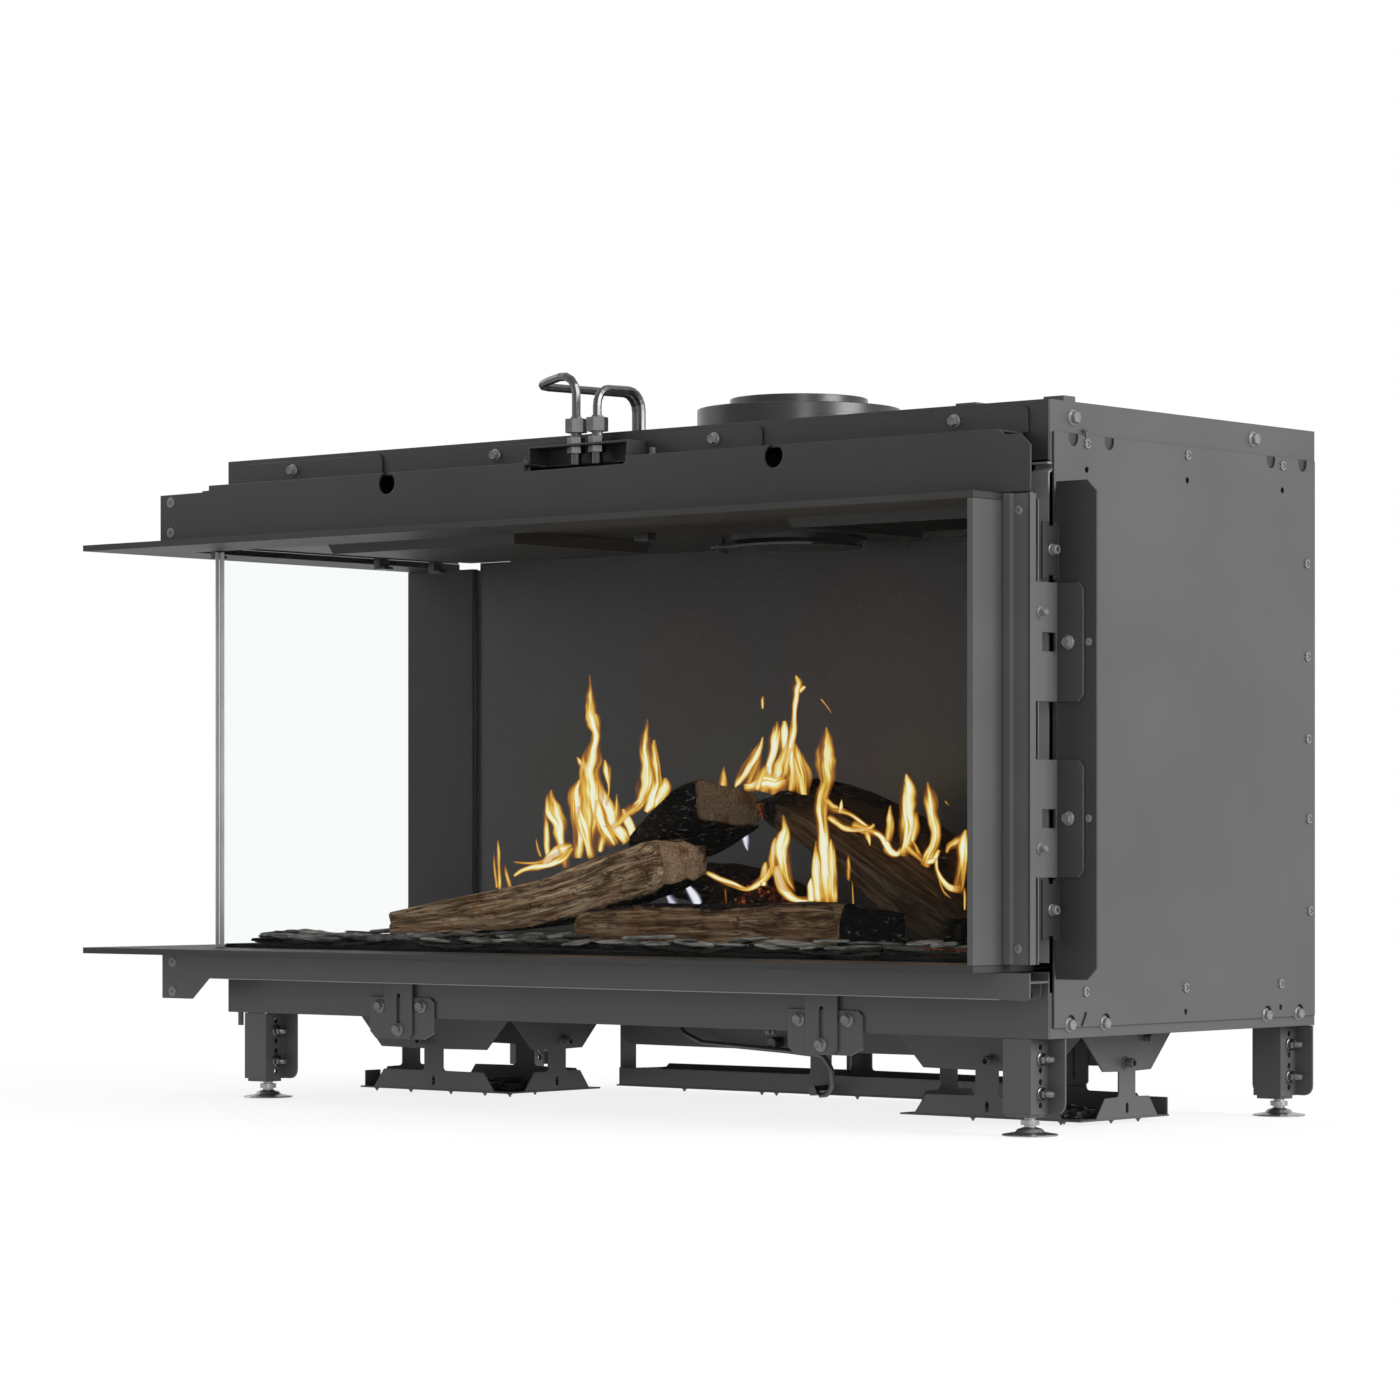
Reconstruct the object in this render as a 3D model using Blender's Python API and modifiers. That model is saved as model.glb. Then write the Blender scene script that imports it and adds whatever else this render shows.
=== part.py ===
# Built-in two-sided gas fireplace: sheet-steel casing, corner glass, view frame,
# log set, concentric flue collar, telescopic legs and under-body trays.
# Lengths below are millimetres in the casing's own frame (x = 0 at the right side,
# y = 0 at the casing's front face, z = 0 at the casing's underside). They are moved
# so that the model's origin is at the centre of its footprint, on the floor.
import bpy
import bmesh
import math
from mathutils import Matrix, Vector

for old in list(bpy.data.objects):
    bpy.data.objects.remove(old, do_unlink=True)

# ---------------------------------------------------------------- dimensions
MM = 0.001
W, D, H = 1020.0, 420.0, 554.0          # casing width, depth, height
T = 2.0                                  # sheet thickness
GAP = 0.3                                # clearance between touching pieces

FRAME_T = 6.0                            # folded flange thickness of the view frame
FY = -82.5                               # front plane of the view frame
FXL, FXR = -1145.5, -19.3                # left and right ends of the view frame
FTOP, FBOT = 471.0, 64.5                 # top face of upper flange, top face of lower flange
FREAR = 395.6                            # rear edge of the left side of the frame
FIN = 5.0                                # inner edge of the front flange strip
FINX = -1047.0                           # inner edge of the lower flange's left strip
FINX_TOP = -1074.0                       # inner edge of the upper flange's left strip

LY = -41.0                               # front plane of lintel, fascia and stile
LXL, LXR = -1075.7, 10.8                 # lintel and fascia ends
LTOP = 526.7                             # lintel top
FASCIA_Z = 34.8                          # fascia bottom line
FASCIA_LOW = 13.9                        # fascia's lower left ear

GLASS_T = 4.0
GLASS_Y = 6.0                            # front face of the front glass
GLASS_X = -1044.2                        # outer face of the left glass
GLASS_Z0, GLASS_Z1 = 65.0, 464.6

CEIL = 471.0                             # underside of the firebox ceiling
DECK = 60.0                              # underside of the burner deck
BACK_Y = 390.0                           # front face of the firebox back

FLUE = (-510.0, 284.0)                   # flue axis
FLUE_R, FLUE_TOP = 100.0, 595.0          # outer collar
LINER_R, LINER_TOP = 67.8, 605.5         # inner collar
PIVOT = (-578.0, 247.0)                  # restrictor pivot

LEG_X = (-33.9, -981.2)                  # leg centre lines
LEG_Y = (0.0, 391.6)                     # front faces of the legs
LEG_Z = -66.0                            # lower end of the fixed leg channel
LEG_HALF = 15.1                          # half width of the leg channel
LEG_DEEP = 26.0
HOLE_Y, HOLE_Z0, HOLE_PITCH = 14.6, -8.0, 10.1
FLOOR = -85.0                            # underside of the levelling feet
FOOT_R, FOOT_X, FOOT_Y = 24.9, 4.0, 14.0  # foot radius, its centre right of the leg centre and behind the leg's front face

TRAY_L = (-875.0, 214.0)                 # centres of the two side trays
TRAY_R = (-176.0, 213.0)
TRAY_W, TRAY_D, TRAY_Z = 206.0, 135.0, -79.0
TRAY_C = (-778.0, 320.0, -246.0, 387.0)  # centre tray: x0, y0, x1, y1

SLOT_X = (-777.2, -248.8)                # slotted bracket centre lines

CX = (FXL + 50.8) / 2                    # centre of the footprint
CY = (FY + LEG_Y[1] + FOOT_Y + FOOT_R) / 2

parts = bpy.data.collections.new("gas_fireplace")
bpy.context.scene.collection.children.link(parts)


def world(p):
    return Vector(((p[0] - CX) * MM, (p[1] - CY) * MM, (p[2] - FLOOR) * MM))


# ---------------------------------------------------------------- materials
def make_material(name, rgb, rough, metal, alpha=1.0):
    m = bpy.data.materials.new(name)
    m.use_nodes = True
    b = m.node_tree.nodes["Principled BSDF"]
    b.inputs["Base Color"].default_value = (*rgb, 1.0)
    b.inputs["Roughness"].default_value = rough
    b.inputs["Metallic"].default_value = metal
    b.inputs["Alpha"].default_value = alpha
    m.diffuse_color = (*rgb, alpha)
    return m


GRAPHITE = ((0.055, 0.055, 0.058), 0.5, 0.3)
INNER = ((0.03, 0.03, 0.03), 0.6, 0.2)
ZINC = ((0.35, 0.35, 0.36), 0.35, 1.0)
GLASSY = ((0.9, 0.95, 0.93), 0.02, 0.0, 0.25)
BARK = ((0.16, 0.10, 0.06), 0.9, 0.0)
CHAR = ((0.04, 0.03, 0.025), 0.95, 0.0)
SLATE = ((0.09, 0.10, 0.10), 0.8, 0.0)


# ---------------------------------------------------------------- mesh helpers
def to_object(me):
    ob = bpy.data.objects.new("piece", me)
    bpy.context.scene.collection.objects.link(ob)
    return ob


def clean(me, merge=0.00001):
    bm = bmesh.new()
    bm.from_mesh(me)
    bmesh.ops.remove_doubles(bm, verts=bm.verts, dist=merge)
    bmesh.ops.recalc_face_normals(bm, faces=bm.faces)
    bm.to_mesh(me)
    bm.free()
    return me


def evaluated_mesh(ob):
    bpy.context.view_layer.update()
    dg = bpy.context.evaluated_depsgraph_get()
    return bpy.data.meshes.new_from_object(ob.evaluated_get(dg))


def curve_to_mesh_object(ob):
    me = evaluated_mesh(ob)
    me.transform(ob.matrix_world)
    data = ob.data
    bpy.data.objects.remove(ob, do_unlink=True)
    bpy.data.curves.remove(data)
    return to_object(clean(me))


def outline(loops, t, origin, u, v):
    """Flat outline (first loop) with holes (other loops), t thick along u x v from origin."""
    cu = bpy.data.curves.new("outline", "CURVE")
    cu.dimensions = "2D"
    cu.fill_mode = "BOTH"
    cu.extrude = t * MM / 2
    for loop in loops:
        sp = cu.splines.new("POLY")
        sp.points.add(len(loop) - 1)
        for pt, (a, b) in zip(sp.points, loop):
            pt.co = (a * MM, b * MM, 0.0, 1.0)
        sp.use_cyclic_u = True
    ob = bpy.data.objects.new("outline", cu)
    bpy.context.scene.collection.objects.link(ob)
    u, v = Vector(u), Vector(v)
    w = u.cross(v)
    m = Matrix((u, v, w)).transposed().to_4x4()
    m.translation = world(origin) + w * (t * MM / 2)
    ob.matrix_world = m
    bpy.context.view_layer.update()
    return curve_to_mesh_object(ob)


X, Y, Z = (1, 0, 0), (0, 1, 0), (0, 0, 1)
NX, NY = (-1, 0, 0), (0, -1, 0)


def plate_y(loops, y0, y1):
    """Outline drawn in x, z; occupies y0..y1."""
    return outline(loops, y1 - y0, (0, y1, 0), X, Z)


def plate_x(loops, x0, x1):
    """Outline drawn in y, z; occupies x0..x1."""
    return outline(loops, x1 - x0, (x0, 0, 0), Y, Z)


def plate_z(loops, z0, z1):
    """Outline drawn in x, y; occupies z0..z1."""
    return outline(loops, z1 - z0, (0, 0, z0), X, Y)


def rect(a0, b0, a1, b1):
    return [(a0, b0), (a1, b0), (a1, b1), (a0, b1)]


def circle(a, b, r, n=12, start=0.0):
    return [(a + r * math.cos(start + 2 * math.pi * i / n),
             b + r * math.sin(start + 2 * math.pi * i / n)) for i in range(n)]


def slot(a0, b0, a1, b1, r, n=5):
    """Round-ended slot between two centres."""
    ang = math.atan2(b1 - b0, a1 - a0)
    pts = []
    for i in range(n + 1):
        q = ang - math.pi / 2 + math.pi * i / n
        pts.append((a1 + r * math.cos(q), b1 + r * math.sin(q)))
    for i in range(n + 1):
        q = ang + math.pi / 2 + math.pi * i / n
        pts.append((a0 + r * math.cos(q), b0 + r * math.sin(q)))
    return pts


def rounded(a0, b0, a1, b1, r, corners="bl br tr tl", n=4):
    """Rectangle with the named corners rounded."""
    c = corners.split()
    out = []
    for key, ca, cb, q0 in (("bl", a0 + r, b0 + r, math.pi), ("br", a1 - r, b0 + r, 1.5 * math.pi),
                            ("tr", a1 - r, b1 - r, 0.0), ("tl", a0 + r, b1 - r, 0.5 * math.pi)):
        if key in c:
            for i in range(n + 1):
                q = q0 + 0.5 * math.pi * i / n
                out.append((ca + r * math.cos(q), cb + r * math.sin(q)))
        else:
            out.append({"bl": (a0, b0), "br": (a1, b0), "tr": (a1, b1), "tl": (a0, b1)}[key])
    return out


def bent(points, t):
    """Closed section of a sheet folded along a polyline, t to the left of its run."""
    pts = [Vector(p) for p in points]
    off = []
    for i, p in enumerate(pts):
        d0 = (p - pts[i - 1]).normalized() if i else None
        d1 = (pts[i + 1] - p).normalized() if i < len(pts) - 1 else None
        n0 = Vector((-d0.y, d0.x)) if d0 else None
        n1 = Vector((-d1.y, d1.x)) if d1 else None
        if n0 is None or n1 is None:
            off.append(p + (n0 or n1) * t)
        else:
            m = (n0 + n1).normalized()
            off.append(p + m * (t / max(m.dot(n0), 0.2)))
    return [tuple(p) for p in pts] + [tuple(p) for p in reversed(off)]


def box(x0, y0, z0, x1, y1, z1):
    me = bpy.data.meshes.new("box")
    bm = bmesh.new()
    bmesh.ops.create_cube(bm, size=1.0)
    for vtx in bm.verts:
        vtx.co = world((x0 if vtx.co.x < 0 else x1, y0 if vtx.co.y < 0 else y1, z0 if vtx.co.z < 0 else z1))
    bmesh.ops.recalc_face_normals(bm, faces=bm.faces)
    bm.to_mesh(me)
    bm.free()
    return to_object(me)


def cyl(p0, p1, r, n=16, r2=None, spin=0.0):
    """Cylinder or cone frustum from p0 to p1."""
    a, b = world(p0), world(p1)
    d = b - a
    me = bpy.data.meshes.new("cyl")
    bm = bmesh.new()
    bmesh.ops.create_cone(bm, cap_ends=True, segments=n, radius1=r * MM,
                          radius2=(r if r2 is None else r2) * MM, depth=d.length)
    rot = Vector((0, 0, 1)).rotation_difference(d.normalized()).to_matrix().to_4x4()
    m = Matrix.Translation((a + b) / 2) @ rot @ Matrix.Rotation(spin, 4, "Z")
    bmesh.ops.transform(bm, matrix=m, verts=bm.verts)
    bmesh.ops.recalc_face_normals(bm, faces=bm.faces)
    bm.to_mesh(me)
    bm.free()
    return to_object(me)


def turned(profile, cx, cy, n, ring=False):
    """Profile of (r, z) turned about a vertical axis with a Screw modifier."""
    me = bpy.data.meshes.new("turned")
    verts = [(r * MM, 0.0, (z - FLOOR) * MM) for r, z in profile]
    edges = [(i, i + 1) for i in range(len(verts) - 1)]
    if ring:
        edges.append((len(verts) - 1, 0))
    me.from_pydata(verts, edges, [])
    ob = to_object(me)
    s = ob.modifiers.new("Screw", "SCREW")
    s.axis = "Z"
    s.steps = n
    s.render_steps = n
    s.use_merge_vertices = True
    s.merge_threshold = 0.00001
    s.use_normal_calculate = True
    ob.location = ((cx - CX) * MM, (cy - CY) * MM, 0.0)
    new = evaluated_mesh(ob)
    new.transform(ob.matrix_world)
    bpy.data.objects.remove(ob, do_unlink=True)
    return to_object(clean(new))


def tube(points, r, res=2):
    """Round bar along a polyline, as a curve with filled caps."""
    cu = bpy.data.curves.new("tube", "CURVE")
    cu.dimensions = "3D"
    cu.bevel_depth = r * MM
    cu.bevel_resolution = res
    cu.use_fill_caps = True
    sp = cu.splines.new("POLY")
    sp.points.add(len(points) - 1)
    for pt, p in zip(sp.points, points):
        pt.co = (*world(p), 1.0)
    ob = bpy.data.objects.new("tube", cu)
    bpy.context.scene.collection.objects.link(ob)
    return curve_to_mesh_object(ob)


def bend_path(corners, radius, n=5):
    """Straight runs between corners, joined by arcs of the given radius."""
    pts = [Vector(p) for p in corners]
    out = [pts[0]]
    for a, b, c in zip(pts, pts[1:], pts[2:]):
        d0, d1 = (a - b).normalized(), (c - b).normalized()
        half = d0.angle(d1) / 2
        cut = min(radius / math.tan(half), (a - b).length * 0.49, (c - b).length * 0.49)
        r = cut * math.tan(half)
        centre = b + (d0 + d1).normalized() * (r / math.sin(half))
        s, e = b + d0 * cut - centre, b + d1 * cut - centre
        axis = s.cross(e).normalized()
        sweep = s.angle(e)
        for i in range(n + 1):
            out.append(centre + Matrix.Rotation(sweep * i / n, 3, axis) @ s)
    out.append(pts[-1])
    return out


def boolean(ob, others, op):
    for other in others:
        m = ob.modifiers.new("Boolean", "BOOLEAN")
        m.operation = op
        m.solver = "EXACT"
        m.object = other
        me = evaluated_mesh(ob)
        ob.modifiers.clear()
        old = ob.data
        ob.data = me
        bpy.data.meshes.remove(old)
        bpy.data.objects.remove(other, do_unlink=True)
    clean(ob.data)
    return ob


def fuse(*obs):
    return boolean(obs[0], obs[1:], "UNION")


def cut(ob, *cutters):
    return boolean(ob, cutters, "DIFFERENCE")


def copy_at(ob, dx, dy, dz=0.0):
    new = ob.copy()
    bpy.context.scene.collection.objects.link(new)
    new.location = ob.location + Vector((dx, dy, dz)) * MM
    return new


def finish(ob, name, look, origin=None, smooth=False):
    """Name the piece, give it its own material and put its origin at a point."""
    ob.name = name
    ob.data.name = name
    if origin is None:
        c = [sum(v.co[i] for v in ob.data.vertices) / len(ob.data.vertices) for i in range(3)]
        o = Vector(c)
    else:
        o = world(origin)
    ob.data.transform(Matrix.Translation(-o))
    ob.location = o
    ob.data.materials.clear()
    ob.data.materials.append(make_material(name, *look))
    if smooth:
        ob.data.shade_smooth()
        ob.data.set_sharp_from_angle(angle=math.radians(40))
    for c in list(ob.users_collection):
        c.objects.unlink(ob)
    parts.objects.link(ob)
    return ob


def finish_copy(src, name, look, dx, dy, dz=0.0):
    new = src.copy()
    new.name = name
    new.location = src.location + Vector((dx, dy, dz)) * MM
    new.data = src.data.copy()
    new.data.name = name
    new.data.materials.clear()
    new.data.materials.append(make_material(name, *look))
    parts.objects.link(new)
    return new


# ---------------------------------------------------------------- casing
Y0, Y1 = T + GAP, D - T - GAP

top = outline([bent([(0, 500), (0, H), (-W, H), (-W, FTOP + 3)], T)], Y1 - Y0, (0, Y1, 0), X, Z)
top = cut(top, cyl((FLUE[0], FLUE[1], H - 10), (FLUE[0], FLUE[1], H + 10), 94, 32))
top = fuse(top, box(-22, 23, H - 1, -0.2, 40, H + 4.6), box(-118, 23, H - 1, -96, 40, H + 4.6))
finish(top, "casing_top", GRAPHITE)

bottom = outline([bent([(-W, 56), (-W, 0), (0, 0), (0, 40)], T)], Y1 - Y0, (0, Y1, 0), X, Z)
finish(bottom, "casing_bottom", GRAPHITE)

back = plate_y([rect(-W, 0, 0, H)], D - T, D)
finish(back, "casing_back", GRAPHITE)

header = plate_y([[(-W, FTOP + 1), (-19.6, FTOP + 1), (-19.6, 501.4), (0, 501.4), (0, H), (-W, H)]], 0, T)
finish(header, "header_plate", GRAPHITE)

beam = plate_y([rect(-W, 0, 0, FBOT - FRAME_T - GAP)], 0, T)
finish(beam, "lower_beam", GRAPHITE)

# right side panel: half-moon notches clear the rail bolts, round holes along both edges
P0, P1 = 9.3, 526.0
half = 7.2


def notch_down(yc):
    return [(yc - half, P1)] + [(yc - half * math.cos(math.pi * i / 6), P1 - 4 - half * math.sin(math.pi * i / 6))
                                for i in range(7)] + [(yc + half, P1)]


def notch_up(yc):
    return [(yc - half, P0)] + [(yc - half * math.cos(math.pi * i / 6), P0 + 4 + half * math.sin(math.pi * i / 6))
                                for i in range(7)] + [(yc + half, P0)]


edge = [(5.6, P0)]
for yc in (30.0, 82.3, 337.8, 391.3):
    edge += notch_up(yc)
edge += [(417.4, P0), (417.4, P1)]
for yc in (396.3, 343.5, 87.5, 33.8):
    edge += list(reversed(notch_down(yc)))
edge += [(5.6, P1)]
holes = [circle(y, 495.6, 2.9, 10) for y in (53.7, 208.2, 362.5)]
holes += [circle(y, 18.2, 2.9, 10) for y in (205.2, 359.4)]
holes += [slot(46.5, 11.6, 52.0, 20.5, 2.0, 4)]
finish(plate_x([edge] + holes, GAP, T + GAP), "side_panel_right", GRAPHITE)

# front post right of the opening: its head steps back and folds forward under the header
post = outline([bent([(-1.0, 499.6), (7.8, 499.6), (8.2, 493.6), (T, 489.7), (T, FBOT + 1.5)], -T)],
               18.7, (-18.7, 0, 0), Y, Z)
post = fuse(post, box(-18.6, 0.4, FBOT + 1.6, -16.7, 22, 488.0))
finish(post, "front_post_right", GRAPHITE)

# ---------------------------------------------------------------- firebox
fb_back = plate_z([bent([(-1038.2, 412), (-1038.2, BACK_Y), (-32.4, BACK_Y)], T)], FBOT + 0.6, CEIL - GAP)
finish(fb_back, "firebox_back", INNER)
finish(box(-32, 12.5, FBOT + 0.6, -30, 392, CEIL - GAP), "firebox_right", INNER)

ceiling = plate_z([rect(-1052.0, FIN + 0.4, -19.6, BACK_Y + 0.5), circle(FLUE[0], FLUE[1], LINER_R + 0.4, 40)], CEIL, CEIL + T)
pin = fuse(cyl((PIVOT[0], PIVOT[1], 458.4), (PIVOT[0], PIVOT[1], CEIL + 1), 3.6, 16),
           cyl((PIVOT[0], PIVOT[1], 455.5), (PIVOT[0], PIVOT[1], 458.8), 6.4, 16))
finish(fuse(ceiling, pin), "firebox_ceiling", INNER)



def pan(x0, y0, x1, y1, z0, z1, slope):
    """Shallow block hung below a ceiling, its four sides sloping inwards towards the bottom."""
    bm = bmesh.new()
    low = [bm.verts.new(world(p)) for p in ((x0, y0, z0), (x1, y0, z0), (x1, y1, z0), (x0, y1, z0))]
    x0, y0, x1, y1 = x0 - slope, y0 - slope, x1 + slope, y1 + slope
    high = [bm.verts.new(world(p)) for p in ((x0, y0, z1), (x1, y0, z1), (x1, y1, z1), (x0, y1, z1))]
    bm.faces.new(low)
    bm.faces.new(high)
    for i in range(4):
        bm.faces.new((low[i], low[(i + 1) % 4], high[(i + 1) % 4], high[i]))
    bmesh.ops.recalc_face_normals(bm, faces=bm.faces)
    me = bpy.data.meshes.new("pan")
    bm.to_mesh(me)
    bm.free()
    return to_object(me)


finish(pan(-914, 43, -668, 235, 458.8, CEIL - GAP, 5.0), "ceiling_duct_left", INNER)
duct_r = cut(pan(-321, 43, -75, 235, 458.8, CEIL - GAP, 5.0), box(-316, 48, 450, -80, 230, 480))
finish(duct_r, "ceiling_duct_right", INNER)

BAR = (-850.0, 170.0, -200.0, 236.0)
deck = plate_z([rect(-1046.4, FIN + 0.4, -19.6, BACK_Y - 1.0), rect(BAR[0] + 12, BAR[1] + 12, BAR[2] - 12, BAR[3] - 12)], DECK, DECK + T)
finish(deck, "burner_deck", INNER)
bar = outline([bent([(BAR[1], 63.8), (BAR[1] + 6, 72.0), (BAR[3] - 6, 72.0), (BAR[3], 63.8)], -T)],
              BAR[2] - BAR[0], (BAR[0], 0, 0), Y, Z)
for i in range(6):
    x0 = BAR[0] + 25 + i * 104
    bar = cut(bar, box(x0, 201, 60, x0 + 80, 205, 80))
finish(bar, "burner_bar", ZINC)
bed = plate_z([[(-1037, 12.5), (-36, 12.5), (-36, 384), (-500, 386), (-1030, 384)],
               rect(BAR[0] - 4, BAR[1] - 4, BAR[2] + 4, BAR[3] + 4)], DECK + T + GAP, 68.5)
finish(bed, "slate_bed", SLATE)


def log(name, look, stations, n=9, seed=0.0):
    """Split log: rings of n points lofted along stations (centre, half width, half height, twist)."""
    bm = bmesh.new()
    rings = []
    cs = [Vector(s[0]) for s in stations]
    for k, (c, hw, hh, tw) in enumerate(stations):
        c = Vector(c)
        d = (cs[min(k + 1, len(cs) - 1)] - cs[max(k - 1, 0)]).normalized()
        side = Vector((0, 0, 1)).cross(d).normalized()
        up = d.cross(side).normalized()
        ring = []
        for i in range(n):
            q = 2 * math.pi * i / n + tw
            f = 1.0 + 0.09 * math.sin(3 * q + seed + 1.3 * k) + 0.05 * math.cos(5 * q - seed + k)
            ring.append(bm.verts.new(world(c + side * hw * f * math.cos(q) + up * hh * f * math.sin(q))))
        rings.append(ring)
    for a, b in zip(rings, rings[1:]):
        for i in range(n):
            bm.faces.new((a[i], a[(i + 1) % n], b[(i + 1) % n], b[i]))
    bm.faces.new(rings[0])
    bm.faces.new(rings[-1])
    bmesh.ops.recalc_face_normals(bm, faces=bm.faces)
    me = bpy.data.meshes.new(name)
    bm.to_mesh(me)
    bm.free()
    finish(to_object(me), name, look)


log("log_long_left", BARK, [((-868, 94, 90), 27, 11.5, 0.2), ((-780, 104, 104), 32, 19, 0.3), ((-690, 118, 121), 36, 23, 0.3),
                            ((-610, 128, 139), 38, 25, 0.35), ((-532, 136, 148), 37, 24, 0.4)], seed=0.4)
log("log_front", BARK, [((-602, 96, 90), 32, 15, 0.1), ((-540, 95, 92), 36, 18, 0.1), ((-440, 94, 93), 37, 19, 0.2),
                        ((-350, 94, 93), 37, 19, 0.2), ((-276, 94, 93), 37, 19, 0.2)], seed=1.4)
log("log_top_chunk", CHAR, [((-604, 182, 190), 34, 9, 0.2), ((-565, 182, 202), 38, 18, 0.25), ((-518, 182, 211), 38, 21, 0.3)], seed=2.2)
log("log_leaning_right", BARK, [((-470, 190, 210), 13, 8, 0.1), ((-425, 183, 199), 23, 15, 0.15), ((-345, 168, 160), 27, 23, 0.2),
                                ((-272, 156, 121), 27, 22, 0.25), ((-214, 147, 93), 25, 15, 0.3)], seed=3.1)
log("log_rear_right", CHAR, [((-474, 264, 224), 15, 9, 0.1), ((-400, 262, 202), 22, 18, 0.2), ((-320, 259, 166), 26, 21, 0.2),
                             ((-245, 255, 130), 26, 21, 0.2), ((-190, 252, 106), 22, 16, 0.3)], seed=4.0)
log("log_rear_middle", CHAR, [((-640, 266, 134), 20, 13, 0.1), ((-580, 260, 128), 25, 18, 0.2), ((-510, 252, 112), 25, 19, 0.2),
                              ((-430, 242, 92), 22, 14, 0.3)], seed=5.0)

# ---------------------------------------------------------------- flue
collar = turned([(FLUE_R, FLUE_TOP), (FLUE_R, H + GAP), (FLUE_R - 1.6, H + GAP), (FLUE_R - 1.6, FLUE_TOP)],
                FLUE[0], FLUE[1], 64, ring=True)
finish(collar, "flue_collar_outer", GRAPHITE, (FLUE[0], FLUE[1], H), smooth=True)
liner = turned([(LINER_R, LINER_TOP), (LINER_R, 466.5), (LINER_R - 1.6, 466.5), (LINER_R - 1.6, LINER_TOP)],
               FLUE[0], FLUE[1], 56, ring=True)
finish(liner, "flue_liner_inner", GRAPHITE, (FLUE[0], FLUE[1], CEIL), smooth=True)

dx, dy = FLUE[0] - PIVOT[0], FLUE[1] - PIVOT[1]
arm_a = math.atan2(dy, dx)
arm = [(PIVOT[0] + 11 * math.cos(arm_a + math.pi / 2), PIVOT[1] + 11 * math.sin(arm_a + math.pi / 2))]
for i in range(1, 6):
    q = arm_a + math.pi / 2 + math.pi * i / 6
    arm.append((PIVOT[0] + 11 * math.cos(q), PIVOT[1] + 11 * math.sin(q)))
arm.append((PIVOT[0] + 11 * math.cos(arm_a - math.pi / 2), PIVOT[1] + 11 * math.sin(arm_a - math.pi / 2)))
for i in range(25):
    q = arm_a + math.pi + 0.3 + (2 * math.pi - 0.6) * i / 24
    arm.append((FLUE[0] + 63 * math.cos(q), FLUE[1] + 63 * math.sin(q)))
restrictor = plate_z([arm, circle(PIVOT[0], PIVOT[1], 4.1, 16)], 460.0, 462.2)
finish(restrictor, "flue_restrictor", ZINC, (PIVOT[0], PIVOT[1], 460.0))

# ---------------------------------------------------------------- view frame
fb = FTOP - FRAME_T
loop_l = [(FXL, FY), (FXR, FY), (FXR, FIN), (FINX, FIN), (FINX, FREAR), (FXL, FREAR)]
loop_t = [(FXL, FY), (FXR, FY), (FXR, FIN), (FINX_TOP, FIN), (FINX_TOP, FREAR), (FXL, FREAR)]
finish(plate_z([loop_t], fb, FTOP), "frame_flange_top", GRAPHITE)
finish(plate_z([loop_l], FBOT - FRAME_T, FBOT), "frame_flange_bottom", GRAPHITE)
finish(box(FXR - FRAME_T, FY, FBOT + GAP, FXR, LY + 2.0, fb - GAP), "frame_flange_right", GRAPHITE)
rear_strip = fuse(box(FXL, FREAR - FRAME_T, FBOT + GAP, -1049.5, FREAR, fb - GAP),
                  box(-1051.5, FREAR - 1.0, FBOT + 1.0, -1049.6, 414.0, fb - 1.0))
finish(rear_strip, "frame_flange_rear", GRAPHITE)

# ---------------------------------------------------------------- trim around the frame
lz = FTOP + GAP
NOTCH = (-578.0, -450.8)
lint = plate_y([[(LXL, lz), (LXR, lz), (LXR, 511), (0, 521.3), (-16, 521.3), (-24.7, LTOP),
                 (NOTCH[1], LTOP), (NOTCH[1] - 0.1, 521.8), (NOTCH[1] - 1.4, 519.9), (NOTCH[1] - 3.4, 519.1), (NOTCH[0], 518.7),
                 (NOTCH[0], LTOP + 0.2), (-1005.2, LTOP + 0.2), (-1005.3, 522.0), (-1014.6, 521.9), (-1014.7, 520.6), (LXL, 520.2)]], LY, LY + T)
ret_y = (LY + 1.0, -GAP)
ret = plate_z([rect(-1004.5, ret_y[0], NOTCH[0] - 8, ret_y[1])], LTOP - T, LTOP - 0.3)
ret2 = plate_z([rect(NOTCH[1] + 1.0, ret_y[0], -25.5, ret_y[1])], LTOP - T, LTOP - 0.3)
rear = box(NOTCH[0] - 9, -9, LTOP - T - 0.2, NOTCH[1] + 3, -GAP - 0.1, LTOP - 0.5)
tab_z = (LTOP - 1.0, 549.8)
tab1 = plate_y([rounded(-990, tab_z[0], -802, tab_z[1], 6, "tr", 3)], -T - GAP, -GAP)
tab2 = plate_y([rounded(-700, tab_z[0], -320, tab_z[1], 6, "tr", 3)], -T - GAP, -GAP)
tab3 = plate_y([rounded(-220.4, tab_z[0], -20.8, tab_z[1], 6, "tr", 3)], -T - GAP, -GAP)
lint = fuse(lint, ret, ret2, rear, tab1, tab2, tab3)
hole_cut = [cyl((x, LY - 5, 516.7), (x, LY + 4.43, 516.7), 10.6, 22, spin=0.11) for x in (-757.6, -274.2)]
lint = cut(lint, *hole_cut)
finish(lint, "trim_lintel_front", GRAPHITE)

side_l = outline([bent([(-1024, 520), (LXL, 520), (LXL, lz)], T)], FREAR - 2 - (LY + T + GAP),
                 (0, FREAR - 2, 0), X, Z)
finish(side_l, "trim_lintel_left", GRAPHITE)

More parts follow.
